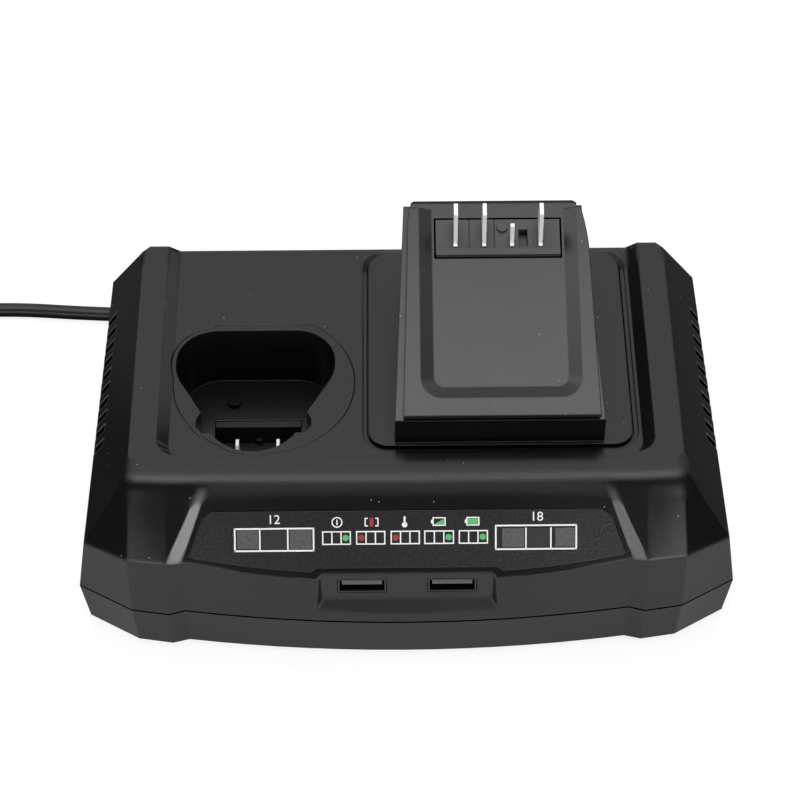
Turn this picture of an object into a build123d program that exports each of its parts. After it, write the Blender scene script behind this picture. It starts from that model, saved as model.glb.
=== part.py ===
from build123d import *
from collections import namedtuple
from math import cos, pi, radians, sin, tan
import os

os.makedirs("parts", exist_ok=True)

# Battery charger with a sliding dock for a large pack, a well for a small pack
# and two charging sockets. Millimetres, +Z up, +X right, front towards -Y.
# The origin is on the table, under the middle of the casing.

# ---------------------------------------------------------------- driving dimensions

# Casing
casing_half_width = 92.0      # at the parting line, front corners
casing_depth_front = 57.0     # origin to the front of the bow
casing_depth_back = 57.0      # origin to the back wall at the parting line
foot_clearance = 1.2          # table to underside
seam_height = 16.0            # parting line between the two casings
ridge_height = 55.0           # rim round the sunken deck
shoulder_height = ridge_height - 17.0   # where the upright skirt turns into the slopes
deck_height = ridge_height - 3.0        # sunken deck on top
wall = 2.4                    # moulded wall
slope_wall = 3.2              # level width of the wall under the slopes
fit = 0.15                    # gap round a piece that drops into an opening
rim_radius = 2.6              # rounding of the front rim

# Front panel recess, measured down the slope from its top line
panel_angle = 48.2            # slope of the recess floor
panel_top_y = 19.5 - casing_depth_front
panel_top_z = ridge_height - 1.8
panel_top_half = casing_half_width - 38.0   # half width of the recess floor at its top line
panel_spread = 0.36           # widening of the floor per millimetre down the slope
panel_length = 36.0           # recess floor runs out through the skirt
panel_flare = 4.0             # sideways run of the recess sides per millimetre of height

# Sockets
socket_face_y = 3.0 - casing_depth_front    # flat face that the sockets open in
socket_face_half = 23.4
socket_height = ridge_height - 25.6      # middle of the sockets
socket_face_bottom = socket_height - 5.9
socket_flare = 0.95              # sideways run of its slanted border per millimetre of depth
socket_chin = 1.4                # downward run of its slanted border per millimetre of depth
socket_pitch = 24.8
socket_shell_width = 13.1
socket_shell_height = 5.7
socket_shell_length = 14.5
socket_shell_wall = 0.35
socket_tongue_width = 11.0
socket_tongue_thickness = 1.8
socket_tongue_drop = 0.55
socket_tongue_setback = 0.3
socket_block_length = 4.0
socket_contact_pitch = 2.3
socket_contact_width = 1.0
socket_contact_thickness = 0.2

# Deck and ridge
deck_half_width = casing_half_width - 26.5
deck_front = -26.9
deck_side_run = 3.2           # level width of the slanted ridge side
deck_front_run = 1.1
deck_corner = 5.0

# Side vents
vent_count = 10
vent_pitch = 5.3
vent_width = 2.5
vent_first_y = -12.7
vent_low = seam_height + 4.0
vent_high = shoulder_height + 4.6

# Dock for the large pack
dock_x = 26.35                # middle of dock and its base panel
dock_panel_half = 36.6
dock_panel_front = -22.9
dock_panel_back = 49.0
dock_panel_corner = 5.3
dock_panel_top = deck_height + 0.2
dock_panel_bottom = deck_height - 2.0
dock_panel_gap = 0.4
dock_moat = 1.6               # lowered border of the casing round the panel
dock_moat_depth = 0.8
dock_ledge = 2.4              # casing ledge under the panel
dock_ledge_width = 4.5
dock_angle = 18.5
dock_front_height = deck_height + 12.8
dock_wall = 2.2
plate_thickness = 2.0
plate_recess = 1.5
neck_height = 1.6
neck_undercut = 2.4
arm_length = 62.9
block_length = 67.3
rear_bevel_start = 64.8
rear_bevel_angle = 50.0
shoulder_length = 65.0
shoulder_front_half = 28.9
shoulder_front_shift = -0.45  # the left shoulder is the wider one
shoulder_back_half = 25.2
shoulder_back_shift = -1.2
plate_front_half = 27.0
plate_mid_half = 25.4
plate_mid_length = 51.0
plate_back_half = 24.1
plate_back_shift = -0.65
tongue_front_half = 23.4      # narrower end of the block behind the shoulders
tongue_back_half = 22.5
tongue_shift = -1.0
recess_start = 5.3            # front edge of the hand recess, up the slope
recess_half = 22.2
recess_bevel = 3.7
recess_corner = 6.0
dock_post_radius = 3.4
dock_post_inset = 6.8
dock_post_spacing = 33.2
dock_post_headroom = 5.0      # top of the posts to the dock's top

# Terminals of the dock
carrier_start = 48.1
carrier_length = 11.7
carrier_half = 17.5
carrier_flange = 1.8
carrier_ear = 4.2
carrier_flange_thickness = 1.6
carrier_lip = 0.8
carrier_lip_length = 2.2
carrier_lip_start = 0.4       # behind the carrier's front edge
carrier_boss_x = 1.3
carrier_boss_radius = 1.5
carrier_groove_offsets = (-8.0, -1.0)
carrier_groove_width = 0.35
carrier_slot_x = 7.1
carrier_slot_width = 2.5
carrier_slot_length = 5.2
carrier_slot_depth = 3.0
blade_thickness = 1.1
blade_height = 10.6
blade_top_length = 3.6
blade_root = 0.9              # low step in front of the nose
blade_root_length = 1.1
blade_nose = 2.0
blade_tail = 9.0
long_blade_offsets = (-11.9, -3.9, 11.9)
short_blade_offset = 3.9
short_blade_height = 6.6
short_blade_top_length = 1.0
short_blade_length = 4.2

# Well for the small pack
well_x = -42.3
well_half_width = 22.5
well_back = 20.1
well_back_corner = 11.6
well_neck_half = 14.8
well_neck_y = -10.3
well_lug_half = 16.0
well_lug_front = -15.6
well_lug_end = -17.8
well_nose_half = 11.7
well_front = -24.4
well_wall = 1.2
well_shelf_height = deck_height - 22.0
well_floor_height = deck_height - 32.0
well_step_y = 4.8
well_flank_inset = 2.4        # where the curved sides turn straight
well_flank_drop = 9.1
well_flange_thickness = 1.2
well_flange_x = 2.6           # middle of the round flange, beside and in front of the well's
well_flange_y = 0.4
well_flange_radius = 25.5
well_flange_back = 22.1
well_rim = 1.2                # narrow part of the flange on the left
well_notch = 1.0              # cut into the ridge beside it
well_deep_half = 12.4
well_screw_x = -49.4
well_screw_y = 11.5
well_post_radius = 3.2

# Contacts of the well
contact_base = 2.4
contact_back = 2.2
contact_rib = 0.9
contact_corner = 1.2
contact_pitch = 11.7
contact_top = well_floor_height + 11.4
contact_thickness = 0.9
contact_length = 4.5
contact_y = -4.5

# Label and light windows on the recess floor
label_thickness = 0.4
label_top = 7.0
label_top_half = panel_top_half - 0.8
label_shoulder = 8.8
label_shoulder_half = panel_top_half + 1.8
label_side_end = 19.2
label_side_half = panel_top_half + 5.6
label_bottom_half = panel_top_half + 4.8
label_bottom = 19.8
label_notch_half = 24.5
label_notch = 22.9
label_notch_outer = 24.0
label_notch_outer_half = 26.4
window_inner_x = 25.9
window_widths = (6.1, 6.8, 5.9)
window_gap = 0.8
window_top = 12.1
window_height = 5.3
window_tail = 1.5             # lens below the panel wall
led_width = 3.0
led_depth = 2.6
led_height = 1.8

# Boards
board_half_width = casing_half_width - 26.0
board_front = -26.5
board_back = 40.0
board_thickness = 1.6
board_height = 8.6            # underside of the main board
board_inset = 4.5             # board screws to board edges
board_post_radius = 3.0
indicator_depth = 7.6         # recess floor to the face of the indicator board
indicator_thickness = 1.2
indicator_half_width = 51.0
indicator_top = 8.5
indicator_length = 11.0
indicator_post_x = 15.0
indicator_post_radius = 2.4
socket_board_half_width = 21.5
socket_board_front = socket_face_y + 3.0
socket_board_back = socket_face_y + 20.5
socket_post_x = 17.5
socket_post_y = socket_board_back - 3.0
socket_post_radius = 2.8

# Components on the main board: place and size
transformer_x = 26.0
transformer_y = 4.0
transformer_width = 30.0
transformer_depth = 26.0
transformer_height = 26.0
heatsink_thickness = 2.0
heatsink_depth = 36.0
heatsink_height = 26.0
input_heatsink_x = 4.0
output_heatsink_x = 52.0
bulk_capacitor = (-4.0, 28.0, 9.0, 30.0)
output_capacitors = ((46.0, -21.0), (37.0, -21.0), (28.0, -21.0))
output_capacitor_radius = 4.0
output_capacitor_height = 16.0
choke_x = 36.0
choke_y = 31.0
choke_radius = 7.0
choke_hole = 3.4
choke_width = 7.0
fuse_y = 28.0
fuse_radius = 2.6
fuse_length = 18.0
rectifier_x = 16.0
rectifier_y = 30.0
rectifier_width = 4.0
rectifier_depth = 14.0
rectifier_height = 12.0
power_body_thickness = 4.4
power_body_width = 10.0
power_body_height = 15.0
power_lead_length = 4.0
power_lead_pitch = 2.54
power_lead_width = 0.8
power_lead_thickness = 0.6
control_chip_places = ((-30.0, 28.0, 10.0, 5.0), (-12.0, -18.0, 7.0, 7.0), (-48.0, 30.0, 6.0, 5.0))
control_chip_height = 1.6
wire_diameter = 1.6
socket_wire_diameter = 1.2
socket_wire_pitch = 2.0
socket_wire_y = socket_board_back - 2.0
wire_landing_x = 10.0
wire_landing_y = board_front + 2.5
wire_landing_pitch = 4.0
wire_drop = 16.0              # upright end of each wire
mains_lead_spacing = 1.3
mains_lead_fan = 3.0          # sideways run of each lead to its pad
mains_lead_rise = 5.0         # height of the bend over the board
mains_lead_bend_y = board_back + 8.0
mains_lead_over_y = board_back + 2.0
mains_lead_pad_y = board_back - 4.0

# Screws
casing_screw_x = casing_half_width - 19.0
casing_screw_front = 24.0 - casing_depth_front
casing_screw_back = 40.0
casing_boss_radius = 4.2
casing_screw_radius = 1.4
casing_screw_head = 2.8
casing_screw_head_height = 2.0
casing_screw_length = 22.0
casing_screw_seat = 6.0
small_screw_radius = 1.0
small_screw_head = 2.1
small_screw_head_height = 1.4
small_screw_length = 6.0
screw_gap = 0.1
lip_thickness = 1.1
lip_height = 1.5
seam_reveal = 0.4

# Feet
foot_radius = 6.0
foot_height = 2.4
foot_x = casing_half_width - 30.0
foot_front = 14.0 - casing_depth_front
foot_back = 46.0

# Air slots in the underside
air_slot_count = 9
air_slot_pitch = 5.0
air_slot_length = 26.0
air_slot_width = 2.0

# Mains lead
cord_diameter = 4.4
cord_exit_x = 46.0
cord_exit_z = 9.0
relief_flange_radius = 5.0
relief_groove_radius = 4.1
relief_flange_thickness = 1.4
relief_inside = 4.8           # back of the casing to the end inside
relief_groove_inner = 3.3     # back of the casing to the groove's inner side
relief_length = 17.6          # outside the casing
relief_root_radius = 3.9
relief_tip_radius = 2.9
coil_x = -176.0
coil_y = 39.8
coil_columns = 5
coil_layers = 2
coil_middle_radius = 25.0
coil_lead = 17.3              # straight lead into and out of the coil
plug_half_width = 12.0
plug_half_height = 7.0
plug_length = 30.0
plug_relief_length = 12.0
plug_relief_root_radius = 4.5
plug_relief_tip_radius = 3.0
plug_blade_pitch = 12.7
plug_blade_width = 6.35
plug_blade_thickness = 1.5
plug_blade_length = 15.9

# ---------------------------------------------------------------- casing outlines

Outline = namedtuple(
    "Outline",
    "height half_width rear_half_width front back bow step_inner step_outer step "
    "corner_x sweep side_front rear_chamfer",
)


def outline_inside(height, side, rear_side, front, back, bow, step_inner, step_outer, step,
                   corner, sweep, side_front, rear_chamfer):
    """An outline given by its distances inside the widest and deepest points of the casing."""
    return Outline(height, casing_half_width - side, casing_half_width - rear_side,
                   front - casing_depth_front, casing_depth_back - back, bow,
                   casing_half_width - step_inner, casing_half_width - step_outer, step,
                   casing_half_width - corner, sweep, side_front - casing_depth_front, rear_chamfer)


base_outline = outline_inside(foot_clearance, 2.0, 4.0, 0.5, 1.0, 4.3,
                              30.5, 25.8, 1.2, 16.2, 1.6, 13.6, 7.6)
seam_outline = outline_inside(seam_height, 0.0, 2.4, 0.0, 0.0, 4.6,
                              30.1, 25.6, 1.3, 15.2, 1.7, 13.8, 8.0)
shoulder_outline = outline_inside(shoulder_height, 3.3, 5.3, 1.6, 1.2, 3.8,
                                  31.0, 26.3, 1.0, 15.4, 1.5, 12.0, 3.5)
ridge_outline = outline_inside(ridge_height, 15.8, 15.8, 20.1, 6.2, 0.4,
                               31.5, 26.5, 0.0, 16.6, 0.3, 21.6, 2.0)
# The slopes start level with the pontoons, so the sides of the recess rise straight to them.
slope_outline = shoulder_outline._replace(bow=shoulder_outline.bow - shoulder_outline.step, step=0.0)


def between(low, high, height):
    """The casing outline at a height between two given outlines."""
    share = (height - low.height) / (high.height - low.height)
    return Outline(*(a + (b - a) * share for a, b in zip(low, high)))


def draw_outline(outline, inset=0.0):
    """A casing outline: bowed front, stepped pontoons, chamfered corners, straight back."""
    step_inner = (outline.step_inner, outline.front + outline.bow)
    step_outer = (outline.step_outer, outline.front + outline.bow - outline.step)
    front_corner = (outline.corner_x, step_outer[1] + outline.sweep)
    side_front = (outline.half_width, outline.side_front)
    side_rear = (outline.rear_half_width, outline.back - outline.rear_chamfer)
    back_corner = (outline.rear_half_width - outline.rear_chamfer, outline.back)
    right = [step_inner, step_outer, front_corner, side_front, side_rear, back_corner]
    left = [(-x, y) for x, y in reversed(right)]
    with BuildLine() as edge:
        ThreePointArc(left[-1], (0, outline.front), right[0])
        Polyline(*right, *left)
    make_face(edge.edges())
    if inset:
        offset(amount=-inset, kind=Kind.INTERSECTION, mode=Mode.REPLACE)


deck_underside = between(shoulder_outline, ridge_outline, deck_height - wall)

# Frame of the recess floor: X across, Y up the slope, Z out of the panel.
panel_plane = Plane(
    origin=(0, panel_top_y, panel_top_z),
    x_dir=(1, 0, 0),
    z_dir=(0, -sin(radians(panel_angle)), cos(radians(panel_angle))),
)

# Frame of the dock's sloping top: X across, Y up the slope from its front edge.
dock_plane = Plane(
    origin=(dock_x, dock_panel_front, dock_front_height),
    x_dir=(1, 0, 0),
    z_dir=(0, -sin(radians(dock_angle)), cos(radians(dock_angle))),
)


def dock_side_plane(x):
    """Upright plane across the dock at x: its X runs up the slope, its Y out of the top."""
    return Plane(origin=dock_plane.from_local_coords(Vector(x, 0, 0)),
                 x_dir=dock_plane.y_dir, z_dir=(1, 0, 0))


def panel_trapezium(top_half, bottom_half, top, bottom):
    """A symmetric trapezium on a panel plane, from top to bottom down the slope."""
    with BuildLine() as edge:
        Polyline((-top_half, -top), (top_half, -top), (bottom_half, -bottom),
                 (-bottom_half, -bottom), close=True)
    make_face(edge.edges())


# ---------------------------------------------------------------- shared places

relief_groove_start = casing_depth_back - relief_groove_inner
relief_groove_end = casing_depth_back
cord_start_y = casing_depth_back + relief_length

casing_screw_points = [(sx * casing_screw_x, y)
                       for sx in (-1, 1) for y in (casing_screw_front, casing_screw_back)]
board_screw_points = [(sx * (board_half_width - board_inset), y)
                      for sx in (-1, 1)
                      for y in (board_front + board_inset, board_back - board_inset)]
dock_post_points = [
    (dock_x + sx * x, dock_panel_front + y)
    for sx in (-1, 1)
    for x, y in ((shoulder_front_half - dock_post_inset, dock_post_inset),
                 (shoulder_back_half - dock_post_inset, dock_post_inset + dock_post_spacing))
]
carrier_middle = carrier_start + carrier_length / 2
carrier_screw_points = [(sx * (carrier_half + carrier_ear / 2), carrier_middle) for sx in (-1, 1)]
socket_centres = [-socket_pitch / 2, socket_pitch / 2]
socket_board_top = socket_height - socket_shell_height / 2
socket_post_points = [(sx * socket_post_x, socket_post_y) for sx in (-1, 1)]
indicator_post_points = [(sx * indicator_post_x, -(indicator_top + indicator_length / 2))
                         for sx in (-1, 1)]
foot_points = [(sx * foot_x, y) for sx in (-1, 1) for y in (foot_front, foot_back)]
board_top = board_height + board_thickness
floor_top = foot_clearance + wall
blade_front = carrier_start + 2 * carrier_lip_start + carrier_lip_length
blade_back = carrier_start + carrier_length - carrier_lip_start / 2
dock_ceiling = -(plate_thickness + neck_height + dock_wall)
recess_slope = recess_bevel / plate_recess


def window_spans(side):
    """Middle and width of each light window, from the middle of the panel outwards."""
    spans = []
    x = window_inner_x
    for width in window_widths:
        spans.append((side * (x + width / 2), width))
        x += width + window_gap
    return spans


def facing_down(height):
    """A level plane that looks down; its Y runs towards the front."""
    return Plane(origin=(0, 0, height), x_dir=(1, 0, 0), z_dir=(0, 0, -1))


def from_below(points):
    """Points of the level plane as a plane that looks down has them."""
    return [(x, -y) for x, y in points]


def pan_head_screws(plane, points, length, radius, head_radius, head_height):
    """Screws whose heads stand on the plane and whose shanks go into it."""
    with BuildSketch(plane) as heads:
        with Locations(*points):
            Circle(head_radius)
    extrude(heads.sketch, amount=head_height)
    with BuildSketch(plane) as shanks:
        with Locations(*points):
            Circle(radius)
    extrude(shanks.sketch, amount=-length)


def rods(plane, points, radius, amount, mode=Mode.ADD):
    """Round posts or holes of one radius, from the plane along its normal."""
    with BuildSketch(plane) as circles:
        with Locations(*points):
            Circle(radius)
    extrude(circles.sketch, amount=amount, mode=mode)


def block(x_min, x_max, y_min, y_max, z_min, z_max, mode=Mode.ADD):
    """A box between two corners."""
    with BuildSketch(Plane.XY.offset(z_min)) as base:
        with Locations(((x_min + x_max) / 2, (y_min + y_max) / 2)):
            Rectangle(x_max - x_min, y_max - y_min)
    extrude(base.sketch, amount=z_max - z_min, mode=mode)


def can(x, y, radius, height):
    """A round component standing on the main board."""
    rods(Plane.XY.offset(board_top), [(x, y)], radius, height)


def chip(x, y, width, depth, height):
    """A flat component on the main board."""
    block(x - width / 2, x + width / 2, y - depth / 2, y + depth / 2, board_top, board_top + height)


def bend_radii(points):
    """Largest arc at each inner point: 0.45 of the shorter run over tan of half the turn."""
    radii = []
    for before, here, after in zip(points, points[1:], points[2:]):
        run_in = Vector(*here) - Vector(*before)
        run_out = Vector(*after) - Vector(*here)
        turn = radians(run_in.get_angle(run_out))
        radii.append(0.45 * min(run_in.length, run_out.length) / tan(turn / 2))
    return radii


def tube(points, diameter):
    """A round cord along straight runs joined by tangent arcs; returns the length of its line."""
    with BuildLine() as route:
        FilletPolyline(*points, radius=bend_radii(points))
    line = route.wires()[0]
    start = Plane(origin=line @ 0, z_dir=line % 0)
    with BuildSketch(start) as section:
        Circle(diameter / 2)
    sweep(section.sketch, path=line)
    return line.length


# ---------------------------------------------------------------- upper casing

def draw_deck(height):
    """The opening between the ridges, wider with height along their slanted sides."""
    share = (height - deck_height) / (ridge_height - deck_height)
    with Locations((0, deck_front - deck_front_run * share)):
        RectangleRounded(2 * (deck_half_width + deck_side_run * share), 2 * casing_half_width,
                         deck_corner + share, align=(Align.CENTER, Align.MIN))


def draw_dock_panel(gap=0.0):
    """The dock's base panel in plan, grown by a gap."""
    depth = dock_panel_back - dock_panel_front
    with Locations((dock_x, dock_panel_front + depth / 2)):
        RectangleRounded(2 * (dock_panel_half + gap), depth + 2 * gap, dock_panel_corner + gap)


def draw_well(grow=0.0):
    """Mouth of the well: round back corners, sides that close in, latch lugs, round nose."""
    back_half = well_half_width - well_back_corner
    corner_y = well_back - well_back_corner
    diagonal = well_back_corner * sin(radians(45))
    flank = (well_half_width - well_flank_inset, corner_y - well_flank_drop)
    with BuildLine() as edge:
        for side in (-1, 1):
            ThreePointArc((side * back_half, well_back),
                          (side * (back_half + diagonal), corner_y + diagonal),
                          (side * well_half_width, corner_y))
            ThreePointArc((side * well_half_width, corner_y),
                          (side * (well_half_width - 0.5), corner_y - 4.8),
                          (side * flank[0], flank[1]))
            Polyline((side * flank[0], flank[1]), (side * well_neck_half, well_neck_y),
                     (side * well_lug_half, well_neck_y - 2.5), (side * well_lug_half, well_lug_front),
                     (side * (well_lug_half - 1.8), well_lug_end), (side * well_nose_half, well_lug_end))
        Line((-back_half, well_back), (back_half, well_back))
        ThreePointArc((-well_nose_half, well_lug_end), (0, well_front), (well_nose_half, well_lug_end))
    with BuildSketch(mode=Mode.PRIVATE) as mouth:
        make_face(edge.edges())
        if grow:
            offset(amount=grow, kind=Kind.ARC, mode=Mode.REPLACE)
    with Locations((well_x, 0)):
        add(mouth.sketch)


def draw_well_flange(grow=0.0):
    """Round flange of the well, cut straight along the back, and its thin rim on the left."""
    with BuildSketch(mode=Mode.PRIVATE) as flange:
        with Locations((well_flange_x, well_flange_y)):
            Circle(well_flange_radius + grow)
        with Locations((0, well_flange_back + grow)):
            Rectangle(8 * well_flange_radius, 4 * well_flange_radius,
                      align=(Align.CENTER, Align.MAX), mode=Mode.INTERSECT)
    with Locations((well_x, 0)):
        add(flange.sketch)
    draw_well(well_rim + grow)


def draw_well_deep(grow=0.0):
    """The deeper front part of the well, behind its round nose."""
    draw_well(grow)
    with Locations((well_x, well_step_y + grow)):
        Rectangle(2 * (well_deep_half + grow), 2 * casing_half_width,
                  align=(Align.CENTER, Align.MAX), mode=Mode.INTERSECT)


with BuildPart() as upper_cavity:
    for low, high, low_inset, high_inset in (
        (seam_outline, shoulder_outline, wall, slope_wall),
        (shoulder_outline, deck_underside, slope_wall, slope_wall),
    ):
        with BuildSketch(Plane.XY.offset(low.height)):
            draw_outline(low, low_inset)
        with BuildSketch(Plane.XY.offset(high.height)):
            draw_outline(high, high_inset)
        loft(ruled=True)
    split(bisect_by=panel_plane.offset(-wall), keep=Keep.BOTTOM)
    backing_half = socket_face_half + 4 * wall
    block(-backing_half, backing_half, -casing_depth_front, socket_face_y + wall,
          seam_height + 2 * lip_height, shoulder_height, mode=Mode.SUBTRACT)

with BuildPart() as upper_casing:
    for low, high in ((seam_outline, shoulder_outline), (slope_outline, ridge_outline)):
        with BuildSketch(Plane.XY.offset(low.height)):
            draw_outline(low)
        with BuildSketch(Plane.XY.offset(high.height)):
            draw_outline(high)
        loft(ruled=True)
    rim = upper_casing.edges().filter_by_position(Axis.Z, ridge_height - fit, ridge_height + fit)
    rim = rim.filter_by_position(Axis.Y, -casing_depth_front, ridge_outline.side_front + fit)
    fillet(rim, radius=rim_radius)
    add(upper_cavity.part, mode=Mode.SUBTRACT)

    # Rebate for the lower casing's lip, and the shadow gap along the parting line
    with BuildSketch(Plane.XY.offset(seam_height)):
        draw_outline(seam_outline, wall - lip_thickness - fit)
    extrude(amount=lip_height + fit, mode=Mode.SUBTRACT)
    with BuildSketch(Plane.XY.offset(seam_height)):
        draw_outline(seam_outline)
        with BuildSketch(mode=Mode.PRIVATE) as kept:
            draw_outline(seam_outline, seam_reveal)
        add(kept.sketch, mode=Mode.SUBTRACT)
    extrude(amount=seam_reveal, mode=Mode.SUBTRACT)

    # Sunken deck between the ridges
    rise = ridge_height - deck_height
    for height in (deck_height, ridge_height + rise):
        with BuildSketch(Plane.XY.offset(height)):
            draw_deck(height)
    loft(ruled=True, mode=Mode.SUBTRACT)

    # Recess for the front panel
    flare_height = 6.0
    for height in (0.0, flare_height):
        with BuildSketch(panel_plane.offset(height)):
            grow = panel_flare * height
            panel_trapezium(panel_top_half + grow, panel_top_half + panel_spread * panel_length + grow,
                            0.0, panel_length)
    loft(ruled=True, mode=Mode.SUBTRACT)

    # Flat face round the sockets, with its slanted border
    for depth in (0.0, flare_height):
        with BuildSketch(Plane.XZ.offset(depth - socket_face_y)):
            low = socket_face_bottom - socket_chin * depth
            with Locations((0, low)):
                Rectangle(2 * (socket_face_half + socket_flare * depth), shoulder_height - low,
                          align=(Align.CENTER, Align.MIN))
    loft(ruled=True, mode=Mode.SUBTRACT)
    with BuildSketch(Plane.XZ.offset(-socket_face_y)):
        with Locations(*[(x, socket_height) for x in socket_centres]):
            Rectangle(socket_shell_width + 2 * fit, socket_shell_height + 2 * fit)
    extrude(amount=-2 * wall, mode=Mode.SUBTRACT)

    # Opening for the dock, with a ledge and screw lugs under its base panel
    ledge_bottom = dock_panel_bottom - dock_ledge
    with BuildSketch(Plane.XY.offset(ledge_bottom)):
        draw_dock_panel(dock_moat)
    extrude(amount=deck_height - ledge_bottom)
    with BuildSketch(Plane.XY.offset(dock_panel_bottom)):
        draw_dock_panel(dock_panel_gap)
    extrude(amount=dock_ledge, mode=Mode.SUBTRACT)
    with BuildSketch(Plane.XY.offset(deck_height - dock_moat_depth)):
        draw_dock_panel(dock_moat)
    extrude(amount=dock_moat_depth, mode=Mode.SUBTRACT)
    with BuildSketch(Plane.XY.offset(ledge_bottom)):
        draw_dock_panel(-dock_ledge_width)
        for x, y in dock_post_points:
            reach = dock_panel_half if x > dock_x else -dock_panel_half
            with Locations(((x + dock_x + reach) / 2, y)):
                Rectangle(abs(dock_x + reach - x), 2.2 * dock_post_radius, mode=Mode.SUBTRACT)
            with Locations((x, y)):
                Circle(1.1 * dock_post_radius, mode=Mode.SUBTRACT)
    extrude(amount=dock_ledge, mode=Mode.SUBTRACT)
    rods(Plane.XY.offset(ledge_bottom), dock_post_points, small_screw_radius + screw_gap,
         dock_ledge, mode=Mode.SUBTRACT)

    # Opening for the well, with a rebate for its flange
    with BuildSketch(Plane.XY.offset(deck_underside.height)):
        draw_well(well_wall + fit)
    extrude(amount=wall - well_flange_thickness, mode=Mode.SUBTRACT)
    with BuildSketch(Plane.XY.offset(deck_height - well_flange_thickness)):
        draw_well_flange(fit)
    extrude(amount=well_flange_thickness + well_notch, mode=Mode.SUBTRACT)

    # Holes for the light windows
    for side in (-1, 1):
        with BuildSketch(panel_plane):
            for x, width in window_spans(side):
                with Locations((x, -(window_top + window_height / 2))):
                    Rectangle(width + 2 * fit, window_height + 2 * fit)
        extrude(amount=-2 * wall, mode=Mode.SUBTRACT)

    # Cooling slots in both sides
    for side in (-1, 1):
        for index in range(vent_count):
            y = vent_first_y + index * vent_pitch
            x_in = side * (ridge_outline.half_width + wall)
            x_out = side * (casing_half_width + wall)
            block(min(x_in, x_out), max(x_in, x_out), y - vent_width / 2, y + vent_width / 2,
                  vent_low, vent_high, mode=Mode.SUBTRACT)

    # Screw bosses of the casing and of the indicator board
    rods(Plane.XY.offset(seam_height + screw_gap), casing_screw_points, casing_boss_radius,
         dock_panel_bottom - seam_height - screw_gap)
    rods(Plane.XY.offset(seam_height + screw_gap), casing_screw_points,
         casing_screw_radius + screw_gap, casing_screw_seat + casing_screw_length - seam_height,
         mode=Mode.SUBTRACT)
    rods(panel_plane.offset(-indicator_depth), indicator_post_points, indicator_post_radius,
         indicator_depth - wall / 2)
    rods(panel_plane.offset(-indicator_depth), indicator_post_points,
         small_screw_radius + screw_gap, small_screw_length - indicator_thickness,
         mode=Mode.SUBTRACT)

    # Tab that closes the slot of the cord's strain relief
    tab_half = relief_groove_radius - screw_gap
    block(cord_exit_x - tab_half, cord_exit_x + tab_half,
          casing_depth_back - 2.3, casing_depth_back - 1.1, cord_exit_z, seam_height + 2 * lip_height)
    rods(Plane.XZ.offset(-casing_depth_back), [(cord_exit_x, cord_exit_z)],
         relief_groove_radius + fit, 2 * wall, mode=Mode.SUBTRACT)
upper_casing.part.label = "upper_casing"
export_step(upper_casing.part, "parts/upper_casing.step")

# ---------------------------------------------------------------- lower casing

with BuildPart() as lower_casing:
    for outline in (base_outline, seam_outline):
        with BuildSketch(Plane.XY.offset(outline.height)):
            draw_outline(outline)
    loft(ruled=True)
    underside = lower_casing.faces().sort_by(Axis.Z)[0]
    chamfer(underside.edges(), length=0.8)
    cavity_floor = between(base_outline, seam_outline, floor_top)
    for outline in (cavity_floor, seam_outline):
        with BuildSketch(Plane.XY.offset(outline.height)):
            draw_outline(outline, wall)
    loft(ruled=True, mode=Mode.SUBTRACT)

    # Lip that stands inside the upper casing
    with BuildSketch(Plane.XY.offset(seam_height)):
        draw_outline(seam_outline, wall - lip_thickness)
        with BuildSketch(mode=Mode.PRIVATE) as inside:
            draw_outline(seam_outline, wall)
        add(inside.sketch, mode=Mode.SUBTRACT)
    extrude(amount=lip_height)

    # Bosses, standoffs and posts
    rods(Plane.XY.offset(floor_top), casing_screw_points, casing_boss_radius, seam_height - floor_top)
    rods(Plane.XY.offset(foot_clearance), casing_screw_points, casing_screw_head + 0.4,
         casing_screw_seat - foot_clearance, mode=Mode.SUBTRACT)
    rods(Plane.XY.offset(foot_clearance), casing_screw_points, casing_screw_radius + screw_gap,
         seam_height - foot_clearance, mode=Mode.SUBTRACT)
    rods(Plane.XY.offset(floor_top), board_screw_points, board_post_radius,
         board_height - floor_top)
    rods(Plane.XY.offset(floor_top), socket_post_points, socket_post_radius,
         socket_board_top - board_thickness - floor_top)
    well_post_top = well_shelf_height - well_wall
    rods(Plane.XY.offset(floor_top), [(well_screw_x, well_screw_y)], well_post_radius,
         well_post_top - floor_top)
    for points, top in ((board_screw_points, board_height),
                        (socket_post_points, socket_board_top - board_thickness),
                        ([(well_screw_x, well_screw_y)], well_post_top)):
        rods(Plane.XY.offset(top), points, small_screw_radius + screw_gap,
             -small_screw_length, mode=Mode.SUBTRACT)

    # Seats of the feet, and slots that let air in from below
    rods(Plane.XY.offset(foot_clearance), foot_points, foot_radius + fit,
         foot_height - foot_clearance, mode=Mode.SUBTRACT)
    with BuildSketch(Plane.XY.offset(foot_clearance)):
        with GridLocations(air_slot_pitch, 1, air_slot_count, 1):
            SlotOverall(air_slot_length, air_slot_width, rotation=90)
    extrude(amount=2 * wall, mode=Mode.SUBTRACT)

    # Slot for the cord's strain relief, open at the parting line
    with BuildSketch(Plane.XZ.offset(-casing_depth_back - wall)):
        with Locations((cord_exit_x, cord_exit_z)):
            Circle(relief_groove_radius + fit)
            Rectangle(2 * (relief_groove_radius + fit), seam_height, align=(Align.CENTER, Align.MIN))
    extrude(amount=4 * wall, mode=Mode.SUBTRACT)
lower_casing.part.label = "lower_casing"
export_step(lower_casing.part, "parts/lower_casing.step")

with BuildPart() as rubber_feet:
    rods(Plane.XY, foot_points, foot_radius, foot_height)
    chamfer(rubber_feet.edges().group_by(Axis.Z)[0], length=0.5)
rubber_feet.part.label = "rubber_feet"
export_step(rubber_feet.part, "parts/rubber_feet.step")

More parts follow.
